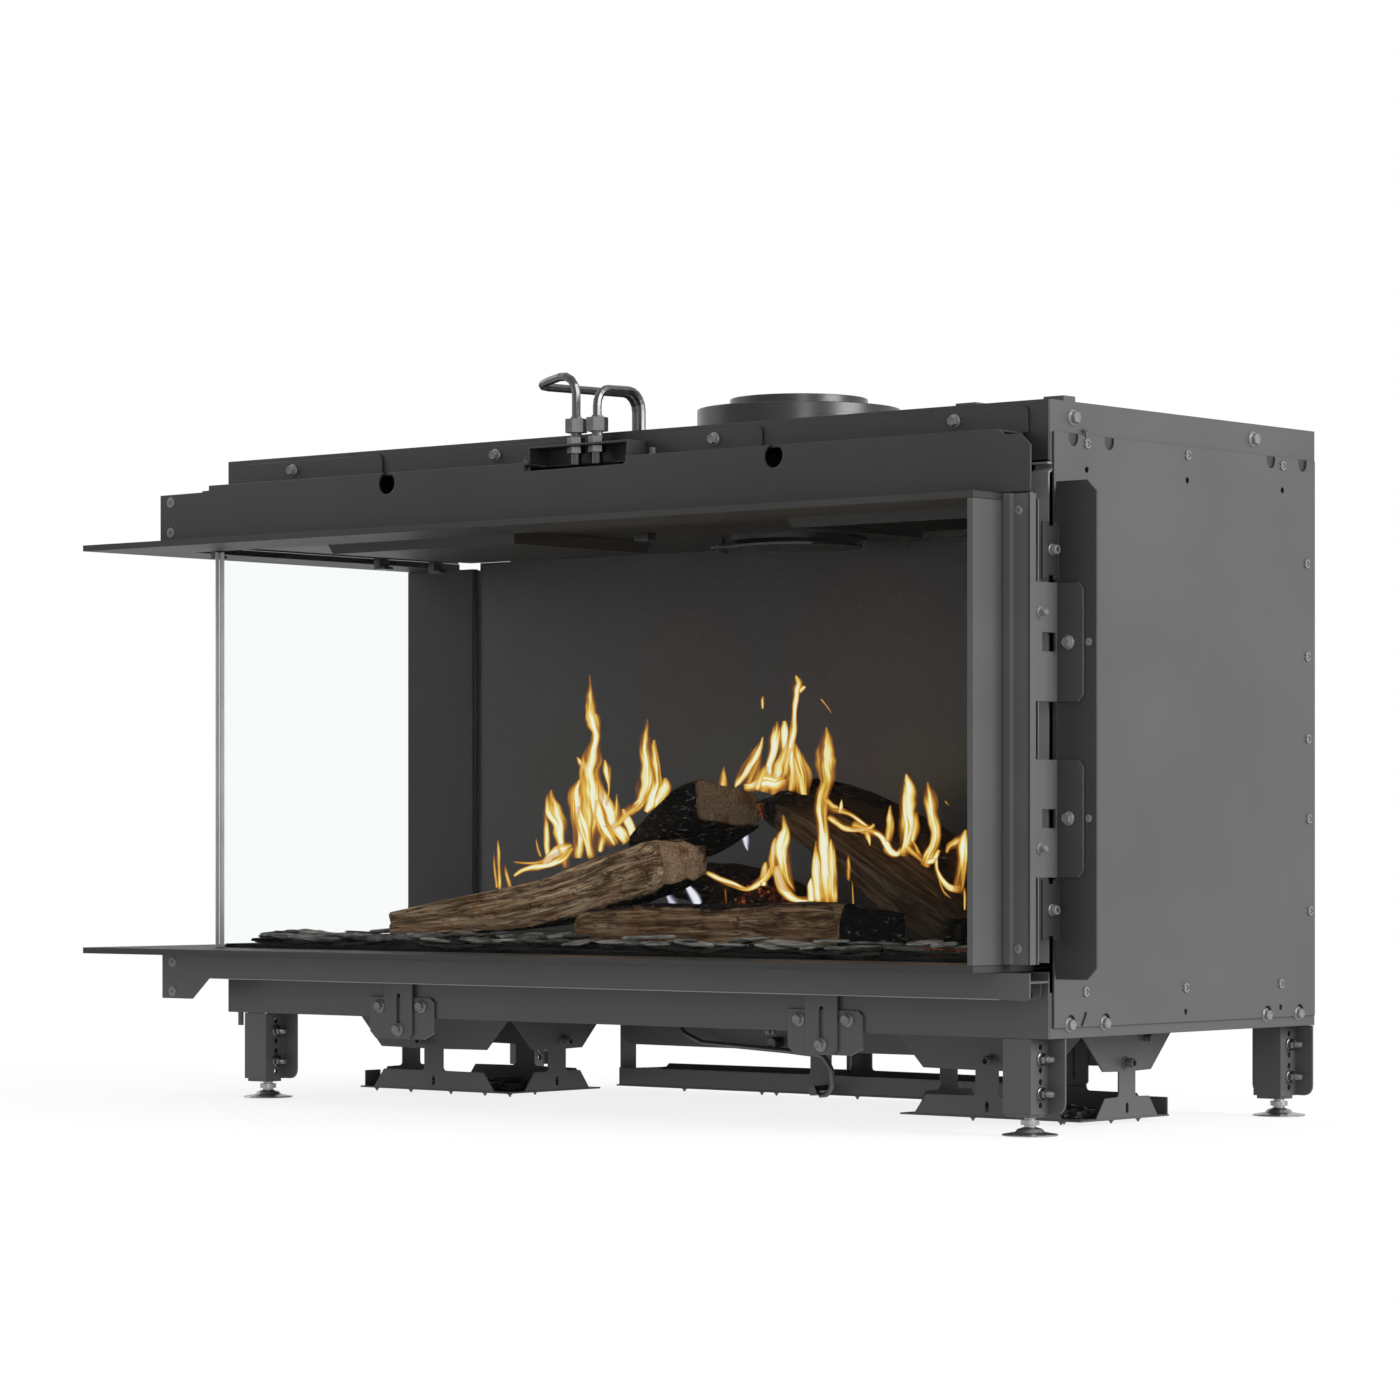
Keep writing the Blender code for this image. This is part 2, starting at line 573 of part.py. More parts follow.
fz = FBOT - FRAME_T - GAP
fas = plate_y([[(LXL + 2.7, fz), (9.8, fz), (9.8, 36.9), (6, 33.9), (-21.4, FASCIA_Z), (-1006, FASCIA_Z),
                (-1030, FASCIA_LOW), (LXL + 2.7, FASCIA_LOW)]], LY, LY + T)
fas_ret = plate_z([rect(-1005, LY + 1, -22, -14)], FASCIA_Z, FASCIA_Z + T)
ledge = plate_z([[(-19, LY + 1), (9.8, LY + 1), (9.7, -26), (5.5, -6), (3, -3.2), (-6.6, -3.0), (-6.8, -1.2), (-19.2, -1.1)]], 49, 51)
fas_tab = cut(plate_y([rounded(-60, 33, -6.4, 50, 5, "br", 3)], -T - GAP, -GAP),
              cyl((-17.1, -8, 38.6), (-17.1, 4, 38.6), 2.6, 10))
fas = fuse(fas, fas_ret, ledge, fas_tab)
finish(fas, "trim_fascia_front", GRAPHITE)
finish(box(LXL + 2.7, LY + T + GAP, FASCIA_Z + 1.0, LXL + 4.7, FREAR - 2, fz), "trim_fascia_left", GRAPHITE)

# right stile: front strip, recessed channel, outer hem and a closed back,
# with two tabs turned out over the side plate
sx = FXR + 0.5
stile = plate_z([[(sx, LY), (-10.6, LY), (-8.8, LY + 2.4), (8.8, LY + 2.4), (8.8, LY), (LXR, LY), (LXR, -32.7),
                  (8.8, -32.7), (8.8, LY + 4.4), (-11.2, LY + 4.4), (-12.4, LY + T), (sx + T, LY + T),
                  (sx + T, -30), (LXR, -30), (LXR, -28), (sx, -28)]], FBOT + 0.8, 470.4)
stile = cut(stile, plate_x([[(-38.2, 471.5), (-30.6, 465.2), (-24, 465.0), (-24, 474), (-38.2, 473.6)]], 7.6, 12.0))
for z0, z1, w0, w1 in ((291.5, 394.2, 334.6, 351.0), (140.0, 241.5, 182.6, 198.8)):
    side = plate_x([rect(-34.5, z0, -1.3, z1), rect(-23.5, w0, -3.5, w1)], 8.8, LXR)
    out = plate_y([[(9.5, z0), (38.3 - 5, z0), (38.3, z0 + 6), (38.3, z1 - 6), (38.3 - 5, z1), (9.5, z1)],
                   circle(23.0, (w0 + w1) / 2, 3.4, 10)], -T - GAP, -GAP)
    stile = fuse(stile, side, out)
finish(stile, "trim_stile_right", GRAPHITE)

MX = 8.2                                 # inner edge of the side mounting plate
mount = plate_y([[(MX, 52), (40.8, 52), (50.8, 62), (50.8, 472), (40.8, 482), (MX, 482)],
                 slot(23.0, 337.0, 23.0, 349.0, 3.4), slot(23.0, 185.0, 23.0, 197.0, 3.4)], 0, T)
mount = fuse(mount, box(MX + 0.1, 1.0, 56, MX + T, 20, 478))
for z0, z1 in ((397.0, 446.5), (86.0, 138.0)):
    nut_plate = box(MX + 0.6, -22.7, z0, MX + 2.6, 1.2, z1)
    nut_plate = cut(nut_plate, box(MX - 2, -14.2, z0 - 2, MX + 6, -5.7, z0 + 3.4), box(MX - 2, -14.2, z1 - 3.4, MX + 6, -5.7, z1 + 2))
    mount = fuse(mount, nut_plate)
finish(mount, "side_mount_plate", GRAPHITE)

# ---------------------------------------------------------------- glass
finish(box(GLASS_X, GLASS_Y, GLASS_Z0, FXR - FRAME_T - 0.9, GLASS_Y + GLASS_T, GLASS_Z1), "glass_front", GLASSY)
finish(box(GLASS_X, GLASS_Y + GLASS_T + GAP, GLASS_Z0, GLASS_X + GLASS_T, 388.0, GLASS_Z1), "glass_left", GLASSY)

# ---------------------------------------------------------------- pipes on the header
by0, by1 = -28.7, -T - GAP - GAP
bracket = outline([bent([(-458.7, LTOP + GAP), (-458.7, 543), (-584, 543), (-584, LTOP + GAP)], T)], by1 - by0, (0, by1, 0), X, Z)
PX = (-534.0, -507.6)
PY = -16.4
for px in PX:
    bracket = cut(bracket, cyl((px, PY, 535), (px, PY, 550), 5.6, 16))
finish(bracket, "pipe_bracket", GRAPHITE)


def fitting(px, nut_r):
    return [cyl((px, PY, 524), (px, PY, 569), 5.2, 16),
            cyl((px, PY, 534.5), (px, PY, 540.6), 8.6, 6, spin=0.2),
            cyl((px, PY, 543.4), (px, PY, 549.5), 8.6, 6, spin=0.2),
            cyl((px, PY, 554), (px, PY, 567), nut_r, 6, spin=0.35)]


long_pipe = tube(bend_path([(PX[0], PY, 562), (PX[0], PY, 612), (-586, PY, 601), (-586, 128, 604), (-586, 128, H + 5)], 17, 4), 4.1)
finish(fuse(*fitting(PX[0], 10.4), long_pipe), "gas_pipe_long", ZINC, (PX[0], PY, 543))
short_pipe = tube(bend_path([(PX[1], PY, 562), (PX[1], PY, 594), (PX[1], 46, 596), (PX[1], 46, H + 5)], 24, 5), 4.1)
finish(fuse(*fitting(PX[1], 10.4), short_pipe), "gas_pipe_short", ZINC, (PX[1], PY, 543))

# ---------------------------------------------------------------- trays under the casing


def side_profile(c, half, low):
    """Low wall, post and hanger of one side in one sheet: a coordinate along the side, z up."""
    hb, ht, hh, p = half - 18.5, half - 33.0, half - 30.0, 12.9
    right = [(hb, low + 0.6), (ht, low + 20.0), (p + 3.2, low + 20.4), (p + 0.9, low + 21.3), (p, low + 23.6), (p, -37.9),
             (hh, -37.3), (hh + 36.0, -GAP)]
    return [(c + a, z) for a, z in right] + [(c - a, z) for a, z in reversed(right)]


def hanging_tray(cx, cy, x0, x1, y0, y1, low, off):
    """Flat base with four walls; the end walls' posts stand off the middle by off."""
    w, d = TRAY_W / 2, TRAY_D / 2
    base = plate_z([[(x0, y0), (x1, y0), (x1, y1), (x0, y1)]], low, low + 1.6)
    slots = lambda c: slot(c, low + 7.5, c, low + 13, 2.2, 4)
    front = plate_y([side_profile(cx, w, low), slots(cx)], y0 + 0.3, y0 + 1.9)
    rear = plate_y([side_profile(cx, w, low)], y1 - 1.9, y1 - 0.3)
    right = plate_x([side_profile(cy + off, d, low), slots(cy + off)], x1 - 1.9, x1 - 0.3)
    left = plate_x([side_profile(cy + off, d, low)], x0 + 0.3, x0 + 1.9)
    return fuse(base, front, rear, right, left)


TL = (TRAY_L[0] - 103.0, TRAY_L[0] + 103.0, TRAY_L[1] - 67.5, TRAY_L[1] + 71.0)
tray_l = hanging_tray(*TRAY_L, *TL, TRAY_Z - 1.2, 6.0)
tray_l = fuse(tray_l, plate_x([[(152.5, TRAY_Z - 0.3), (174, TRAY_Z - 0.3), (174, -63), (152.5, -63)]], TL[0] + 0.45, TL[0] + 1.75))
finish(tray_l, "tray_left", GRAPHITE)
TR = (TRAY_R[0] - 100.0, TRAY_R[0] + 105.5, TRAY_R[1] - 67.5, TRAY_R[1] + 71.5)
tray_r = hanging_tray(*TRAY_R, *TR, TRAY_Z - 2.4, 5.5)
ry1 = TR[3]
tray_r = fuse(tray_r, plate_y([[(-95, TRAY_Z - 1.5), (-71.5, TRAY_Z - 1.5), (-71.5, -64), (-95, -64)]], ry1 - 1.75, ry1 - 0.45),
              plate_y([[(-186.5, -57), (-163.5, -57), (-160, -53), (-160, -18.5), (-163.5, -15), (-186.5, -15), (-190, -18.5), (-190, -53)],
                       slot(-175, -48, -175, -24, 2.2, 4)], ry1 - 3.3, ry1 - 1.7))
finish(tray_r, "tray_right", GRAPHITE)

c0, cy0, c1, cy1 = TRAY_C
cm = (c0 + c1) / 2
ch = (c1 - c0) / 2
cb = plate_z([rect(c0 - 3, cy0, c1 + 3, cy1)], TRAY_Z, TRAY_Z + 1.6)


def long_side(low_end, up):
    """Low wall along the centre tray with a post at its middle and a hanger above."""
    right = [(ch - 0.4, TRAY_Z + 0.7)] + low_end + [
        (16.2, -59.4 + up), (13.9, -58.5 + up), (13.0, -56.2 + up), (13.0, -36.6 + up / 3),
        (ch - 16.0, -35.8 + up / 3), (ch - 3.7, -25.0), (ch - 3.7, -GAP)]
    return [[(cm + a, z) for a, z in right] + [(cm - a, z) for a, z in reversed(right)]]


cw = plate_y(long_side([(ch - 0.4, -60.0)], 0.0), cy0 + 0.3, cy0 + 1.9)
cr = plate_y(long_side([(ch - 0.4, -62.0), (ch - 8.0, -61.4), (ch - 12.0, -57.8)], 2.4), cy1 - 1.9, cy1 - 0.3)
end_wall = [(cy0 + 2.2, TRAY_Z + 0.8), (cy1 - 2.2, TRAY_Z + 0.8), (cy1 - 2.2, -62.0), (cy0 + 25.0, -61.3), (cy0 + 25.0, -GAP), (cy0 + 2.2, -GAP)]
ce = [plate_x([end_wall], c0 + 0.3, c0 + 1.9), plate_x([end_wall], c1 - 1.9, c1 - 0.3)]
finish(fuse(cb, cw, cr, *ce), "tray_centre", GRAPHITE)

tt = tube(bend_path([(-690, 300, -3.0), (-672, 300, -21.5), (-648, 300, -30.5), (-541, 300, -35.5), (-492, 300, -39.0),
                     (-482.5, 301, -52), (-483, 303, -68), (-490, 304, -77.5), (-501, 306, -78.5)], 9, 3), 2.6)
tn = fuse(tt, cyl((-505.5, 299, -74.0), (-505.5, cy0 - 0.4, -74.0), 5.4, 6, spin=0.5))
finish(tn, "tray_tube", ZINC)

# ---------------------------------------------------------------- slotted brackets on the lower beam
for cx, tag in zip(SLOT_X, ("left", "right")):
    bz0, bz1 = -20.6, 20.0
    bp = plate_y([[(cx - 33, bz0), (cx + 31.5, bz0), (cx + 45.8, -13.7), (cx + 45.8, 15.3), (cx + 40.5, bz1), (cx - 40.7, bz1 + 0.1), (cx - 40.7, -13.8)],
                  circle(cx, -11.3, 3.0, 10)], -T - GAP, -GAP)
    finish(bp, "bracket_back_" + tag, GRAPHITE)
    sp = plate_y([[(cx - 19, bz0), (cx + 12.5, bz0), (cx + 18.4, bz0 + 4.5), (cx + 18.4, 33.8), (cx - 19, 33.8)],
                  slot(cx, -11.3, cx, 21.0, 2.6)], -2 * T - 2 * GAP, -T - 2 * GAP)
    finish(sp, "slotted_plate_" + tag, GRAPHITE, (cx, -T - 2 * GAP, bz0))

# ---------------------------------------------------------------- legs
lx, ly = LEG_X[0], LEG_Y[0]
hat = bent([(lx - LEG_HALF, LEG_DEEP - 0.4), (lx - LEG_HALF, 0), (lx + LEG_HALF, 0), (lx + LEG_HALF, LEG_DEEP - 0.4)], T)
outer = fuse(plate_z([hat], LEG_Z, -GAP),
             plate_y([rounded(lx - 32.2, LEG_Z + 0.2, lx - LEG_HALF + 1.0, -GAP - 0.1, 9, "bl")], LEG_DEEP - T, LEG_DEEP),
             plate_y([rounded(lx + LEG_HALF - 1.0, LEG_Z + 0.2, lx + 34.3, -GAP - 0.1, 9, "br")], LEG_DEEP - T, LEG_DEEP))
bolt_rows = [HOLE_Z0 - HOLE_PITCH * i for i in range(6)]
outer = cut(outer, *[cyl((lx + LEG_HALF - 5, HOLE_Y, z), (lx + LEG_HALF + 5, HOLE_Y, z), 2.8, 10) for z in bolt_rows])
iw = LEG_HALF - T - GAP
inner = plate_z([bent([(lx - iw, 23.5), (lx - iw, T + GAP), (lx + iw, T + GAP), (lx + iw, 23.5)], T)], -69.0, -6.0)
base = plate_z([rect(lx - iw, T + GAP, lx + iw, 23.5), circle(lx + FOOT_X, 13.9, 5.3, 14, 0.17)], -69.0, -67.0)
inner = fuse(inner, base)
inner = cut(inner, *[cyl((lx + iw - 5, HOLE_Y, z), (lx + iw + 5, HOLE_Y, z), 2.8, 10) for z in bolt_rows])
fx, fy = lx + FOOT_X, FOOT_Y
foot = turned([(0, -58.0), (4.9, -58.0), (4.9, -71.2), (8.2, -71.2), (8.2, -75.6), (5.4, -75.6), (5.4, -77.4), (11.0, -79.2), (13.2, -81.8),
               (FOOT_R - 0.6, -83.6), (FOOT_R, -84.4), (FOOT_R - 0.4, FLOOR), (0, FLOOR)], fx, fy, 20)

leg_names = ("front_right", "front_left", "rear_right", "rear_left")
shifts = [(0, 0), (LEG_X[1] - LEG_X[0], 0), (0, LEG_Y[1]), (LEG_X[1] - LEG_X[0], LEG_Y[1])]
outer = finish(outer, "leg_channel_front_right", GRAPHITE, (lx, HOLE_Y, 0))
inner = finish(inner, "leg_slide_front_right", ZINC, (lx, HOLE_Y, LEG_Z))
foot = finish(foot, "foot_front_right", ZINC, (fx, fy, -69), smooth=True)
for name, (sx_, sy_) in list(zip(leg_names, shifts))[1:]:
    finish_copy(outer, "leg_channel_" + name, GRAPHITE, sx_, sy_)
    finish_copy(inner, "leg_slide_" + name, ZINC, sx_, sy_)
    finish_copy(foot, "foot_" + name, ZINC, sx_, sy_)

bpy.context.view_layer.update()
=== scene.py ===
import bpy
import bmesh
import math
import random
from mathutils import Matrix, Vector, noise


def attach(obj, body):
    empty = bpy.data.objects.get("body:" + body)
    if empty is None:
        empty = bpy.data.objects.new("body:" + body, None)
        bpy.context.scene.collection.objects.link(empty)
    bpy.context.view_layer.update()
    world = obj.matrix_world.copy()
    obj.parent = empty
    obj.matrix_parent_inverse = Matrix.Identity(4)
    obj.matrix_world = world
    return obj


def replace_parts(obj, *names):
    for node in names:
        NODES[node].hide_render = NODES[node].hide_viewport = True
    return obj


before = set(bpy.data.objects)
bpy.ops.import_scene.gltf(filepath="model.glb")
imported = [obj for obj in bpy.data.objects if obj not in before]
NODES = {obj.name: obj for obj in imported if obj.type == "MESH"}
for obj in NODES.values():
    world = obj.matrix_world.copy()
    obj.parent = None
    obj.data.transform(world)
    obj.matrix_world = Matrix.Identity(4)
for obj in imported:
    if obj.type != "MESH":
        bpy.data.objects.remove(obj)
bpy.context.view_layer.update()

LEGS = {"front_right": (0.0, 0.0), "front_left": (-947.3, 0.0), "rear_right": (0.0, 391.6), "rear_left": (-947.3, 391.6)}


def M(x, y, z):
    """Casing millimetres to the model's metres."""
    return Vector(((x + 547.35) / 1000, (y - 174.0) / 1000, (z + 85.0) / 1000))


# ------------------------------------------------------------------ camera
YAW = math.radians(40.445)
EYE = Vector((2362.3, -3235.4, 168.4))
FOCAL = 118.84 / 36.0 * 1400.0
HORIZON = 699.5 + 0.10366 * 1400.0
RIGHT = Vector((math.cos(YAW), math.sin(YAW), 0.0))
AHEAD = Vector((-math.sin(YAW), math.cos(YAW), 0.0))

cam = bpy.data.cameras.new("camera")
cam_ob = bpy.data.objects.new("camera", cam)
bpy.context.scene.collection.objects.link(cam_ob)
cam_ob.location = M(*EYE)
cam_ob.rotation_euler = (math.radians(90), 0.0, YAW)
cam.sensor_width = 36.0
cam.lens = 118.84
cam.shift_y = 0.10366
cam.clip_end = 60
bpy.context.scene.camera = cam_ob
bpy.context.scene.view_settings.view_transform = "Standard"
bpy.context.scene.view_settings.look = "None"


def at(px, py, y):
    """Casing millimetres of the point on the upright plane at y that is seen at a pixel of the 1400 x 1399 frame."""
    a = (px - 700.0) / FOCAL
    dy = y - EYE.y
    dx = dy * (RIGHT.x * a - RIGHT.y) / (RIGHT.x + RIGHT.y * a)
    depth = AHEAD.x * dx + AHEAD.y * dy
    return Vector((EYE.x + dx, y, EYE.z + (HORIZON - py) / FOCAL * depth))


def at_x(px, py, x):
    """The same for the upright plane at x."""
    a = (px - 700.0) / FOCAL
    dx = x - EYE.x
    dy = dx * (AHEAD.y + RIGHT.y * a) / (AHEAD.x + RIGHT.x * a)
    depth = AHEAD.x * dx + AHEAD.y * dy
    return Vector((x, EYE.y + dy, EYE.z + (HORIZON - py) / FOCAL * depth))


# ------------------------------------------------------------------ node helpers
class Tree:
    def __init__(self, name):
        self.mat = bpy.data.materials.new(name)
        self.mat.use_nodes = True
        self.nt = self.mat.node_tree
        self.nt.nodes.clear()
        self.out = self.add("ShaderNodeOutputMaterial")

    def add(self, kind, **props):
        n = self.nt.nodes.new(kind)
        for k, v in props.items():
            setattr(n, k, v)
        return n

    def link(self, a, b):
        self.nt.links.new(a, b)

    def bsdf(self, color=(0.8, 0.8, 0.8), rough=0.5, metal=0.0, spec=0.5):
        b = self.add("ShaderNodeBsdfPrincipled")
        b.inputs["Base Color"].default_value = (*color, 1)
        b.inputs["Roughness"].default_value = rough
        b.inputs["Metallic"].default_value = metal
        b.inputs["Specular IOR Level"].default_value = spec
        self.link(b.outputs[0], self.out.inputs["Surface"])
        return b

    def coords(self, kind="Object", scale=(1, 1, 1), rot=(0, 0, 0)):
        tc = self.add("ShaderNodeTexCoord")
        mp = self.add("ShaderNodeMapping")
        mp.inputs["Scale"].default_value = scale
        mp.inputs["Rotation"].default_value = rot
        self.link(tc.outputs[kind], mp.inputs["Vector"])
        return mp.outputs[0]

    def attr(self, name):
        return self.add("ShaderNodeAttribute", attribute_name=name).outputs["Fac"]

    def noise(self, vec, scale, detail=3.0, rough=0.55, dist=0.0):
        n = self.add("ShaderNodeTexNoise")
        n.inputs["Scale"].default_value = scale
        n.inputs["Detail"].default_value = detail
        n.inputs["Roughness"].default_value = rough
        n.inputs["Distortion"].default_value = dist
        if vec is not None:
            self.link(vec, n.inputs["Vector"])
        return n.outputs["Fac"]

    def ramp(self, fac, stops, mode="LINEAR"):
        r = self.add("ShaderNodeValToRGB")
        r.color_ramp.interpolation = mode
        els = r.color_ramp.elements
        while len(els) < len(stops):
            els.new(0.5)
        for e, (p, c) in zip(els, stops):
            e.position = p
            e.color = (*c, 1) if len(c) == 3 else c
        self.link(fac, r.inputs[0])
        return r.outputs[0]

    def range(self, fac, a, b, c, d):
        m = self.add("ShaderNodeMapRange")
        for i, v in zip((1, 2, 3, 4), (a, b, c, d)):
            m.inputs[i].default_value = v
        self.link(fac, m.inputs[0])
        return m.outputs[0]

    def mix(self, fac, a, b, blend="MIX"):
        m = self.add("ShaderNodeMix", data_type="RGBA", blend_type=blend)
        for sock, v in ((m.inputs[0], fac), (m.inputs[6], a), (m.inputs[7], b)):
            if isinstance(v, (int, float)):
                sock.default_value = v
            elif isinstance(v, tuple):
                sock.default_value = (*v, 1)
            else:
                self.link(v, sock)
        return m.outputs[2]

    def math(self, op, a, b=0.0, clamp=False):
        m = self.add("ShaderNodeMath", operation=op, use_clamp=clamp)
        for sock, v in ((m.inputs[0], a), (m.inputs[1], b)):
            if isinstance(v, (int, float)):
                sock.default_value = v
            else:
                self.link(v, sock)
        return m.outputs[0]

    def bump(self, height, strength, distance, normal=None):
        b = self.add("ShaderNodeBump")
        b.inputs["Strength"].default_value = strength
        b.inputs["Distance"].default_value = distance
        self.link(height, b.inputs["Height"])
        if normal is not None:
            self.link(normal, b.inputs["Normal"])
        return b.outputs[0]

    def bevel(self, radius):
        b = self.add("ShaderNodeBevel", samples=4)
        b.inputs["Radius"].default_value = radius
        return b.outputs[0]


# ------------------------------------------------------------------ finishes
def powder_coat(name, color, rough, bevel=0.0012, grain=0.06, spec=0.35):
    """Satin powder coat on sheet steel: fine orange peel, slow changes of tone, softened edges."""
    t = Tree(name)
    b = t.bsdf(color, rough, 0.0, spec)
    v = t.coords()
    slow = t.noise(v, 5.0, 3.0)
    fine = t.noise(v, 900.0, 2.0)
    peel = t.noise(v, 260.0, 3.0)
    tone = t.range(slow, 0.3, 0.7, 0.92, 1.08)
    dark = tuple(c * 0.93 for c in color)
    light = tuple(c * 1.07 for c in color)
    mixed = t.mix(t.range(slow, 0.35, 0.65, 0.0, 1.0), dark, light)
    speck = t.mix(t.range(fine, 0.62, 0.78, 0.0, 0.25), mixed, tuple(min(1, c * 1.6) for c in color))
    t.link(speck, b.inputs["Base Color"])
    r = t.math("MULTIPLY", tone, rough)
    t.link(t.math("ADD", r, t.range(fine, 0.3, 0.7, -0.03, 0.03)), b.inputs["Roughness"])
    nrm = t.bump(fine, grain, 0.0002, t.bevel(bevel) if bevel else None)
    t.link(t.bump(peel, grain * 0.8, 0.0006, nrm), b.inputs["Normal"])
    return t.mat


def bright_metal(name, color, rough, scale=(60, 60, 900), bevel=0.0003, lines_bump=0.12):
    """Zinc-plated or bare steel with drawn lines and a little staining."""
    t = Tree(name)
    b = t.bsdf(color, rough, 1.0, 0.5)
    lines = t.noise(t.coords(scale=scale), 1.0, 4.0, 0.6)
    stain = t.noise(t.coords(), 70.0, 4.0)
    c = t.mix(t.range(stain, 0.35, 0.7, 0.0, 1.0), tuple(x * 0.72 for x in color), color)
    t.link(c, b.inputs["Base Color"])
    t.link(t.math("ADD", t.range(lines, 0.3, 0.7, rough - 0.07, rough + 0.08), t.range(stain, 0.4, 0.8, 0.0, 0.12)),
           b.inputs["Roughness"])
    t.link(t.bump(lines, lines_bump, 0.0002, t.bevel(bevel)), b.inputs["Normal"])
    return t.mat


COAT = powder_coat("graphite_coat", (0.056, 0.056, 0.056), 0.38)
# slightly lighter copy of the graphite coat for the fascia, brackets, legs and trays: painted light lifting these lower
# parts out of shade
COAT_TRIM_PAINTED_LIGHT = powder_coat("graphite_coat_trim_painted_light", (0.062, 0.062, 0.062), 0.38)
# lighter copy of the graphite coat for the right stile: painted light
COAT_STILE_PAINTED_LIGHT = powder_coat("graphite_coat_stile_painted_light", (0.082, 0.082, 0.082), 0.38)
# lighter, glossier copy of the graphite coat for the painted bolts and screws: painted light for their bright rims
BOLT_COAT_PAINTED_LIGHT = powder_coat("graphite_coat_bolts_painted_light", (0.125, 0.125, 0.127), 0.30, bevel=0.0003, grain=0.02, spec=0.6)
# pale copy of the graphite coat: a painted highlight along a folded edge
EDGE_HIGHLIGHT_COAT = powder_coat("graphite_coat_painted_highlight", (0.15, 0.15, 0.15), 0.34, bevel=None, grain=0.02, spec=0.5)
# darker copy of the graphite coat for the stile's tabs: painted shade
COAT_TAB_PAINTED_SHADE = powder_coat("graphite_coat_tab_painted_shade", (0.036, 0.036, 0.036), 0.42)
# much lighter copy of the graphite coat for the right front post: painted light
COAT_POST_PAINTED_LIGHT = powder_coat("graphite_coat_post_painted_light", (0.150, 0.150, 0.150), 0.42)
# darker copy of the graphite coat for the header, lintel and pipe bracket: painted shade
COAT_HEAD_PAINTED_SHADE = powder_coat("graphite_coat_header_painted_shade", (0.025, 0.025, 0.025), 0.38)
COAT_FLANGE = powder_coat("graphite_coat_flange", (0.040, 0.0395, 0.039), 0.50, spec=0.10)
COAT_DARK = powder_coat("graphite_coat_dark", (0.024, 0.024, 0.024), 0.44)
LINING = powder_coat("firebox_lining", (0.022, 0.0215, 0.021), 0.34, bevel=0.0006, grain=0.012, spec=0.4)
LINING_TOP = powder_coat("firebox_lining_top", (0.030, 0.0285, 0.0272), 0.46, bevel=0.0006, grain=0.012, spec=0.16)


def glow_painted_lining(name, glow_spots):
    """The back lining with soft warm patches: painted glow of the fire on the wall. Each patch a centre, a radius and a
    colour.
    """
    t = Tree(name)
    b = t.bsdf((0.022, 0.0215, 0.021), 0.34, 0.0, 0.4)
    col = None
    slow = t.noise(t.coords(), 4.0, 3.0)
    col = t.mix(t.range(slow, 0.35, 0.65, 0.0, 1.0), (0.0235, 0.0230, 0.0225), (0.0270, 0.0265, 0.0260))
    geo = t.add("ShaderNodeNewGeometry")
    for centre, radius, tint in glow_spots:
        d = t.add("ShaderNodeVectorMath", operation="DISTANCE")
        t.link(geo.outputs["Position"], d.inputs[0])
        d.inputs[1].default_value = centre
        m = t.add("ShaderNodeMapRange", interpolation_type="SMOOTHSTEP")
        for i, v in zip((1, 2, 3, 4), (radius * 0.45, radius, 0.9, 0.0)):
            m.inputs[i].default_value = v
        t.link(d.outputs["Value"], m.inputs[0])
        col = t.mix(m.outputs[0], col, tint)
    t.link(col, b.inputs["Base Color"])
    fine = t.noise(t.coords(), 40.0, 2.0)
    t.link(t.range(fine, 0.3, 0.7, 0.32, 0.36), b.inputs["Roughness"])
    return t.mat


# warm patches above and beside the flames: painted glow of the fire
LINING_BACK = glow_painted_lining("firebox_lining_back", [
    (tuple(M(*at(690, 690, 386))), 0.12, (0.036, 0.0240, 0.0215)),
    (tuple(M(*at(868, 690, 386))), 0.16, (0.041, 0.0245, 0.0215)),
    (tuple(M(*at(722, 770, 386))), 0.06, (0.034, 0.031, 0.020)),
    (tuple(M(*at(920, 770, 386))), 0.07, (0.036, 0.031, 0.020)),
    (tuple(M(*at(560, 770, 386))), 0.08, (0.026, 0.025, 0.020))])
ZINC = bright_metal("zinc_plate", (0.40, 0.40, 0.41), 0.30)
BOLT = bright_metal("bolt_steel", (0.20, 0.20, 0.205), 0.30, bevel=0.0002)
STEEL = bright_metal("pipe_steel", (0.125, 0.125, 0.127), 0.30, scale=(30, 30, 12), lines_bump=0.02)
DARK_ZINC = bright_metal("dark_zinc", (0.13, 0.13, 0.135), 0.38)


def dress(mat, *names):
    for n in names:
        for s in NODES[n].material_slots:
            s.material = mat


dress(COAT, "casing_top", "casing_bottom", "side_panel_right", "casing_back", "lower_beam")
dress(COAT_POST_PAINTED_LIGHT, "front_post_right")
dress(COAT_HEAD_PAINTED_SHADE, "header_plate", "trim_lintel_front", "trim_lintel_left", "pipe_bracket")
dress(COAT_DARK, "firebox_right")
dress(COAT_DARK, "side_mount_plate")
dress(COAT_FLANGE, "frame_flange_bottom", "frame_flange_top", "frame_flange_rear")
dress(COAT_STILE_PAINTED_LIGHT, "trim_stile_right")
stile = NODES["trim_stile_right"]
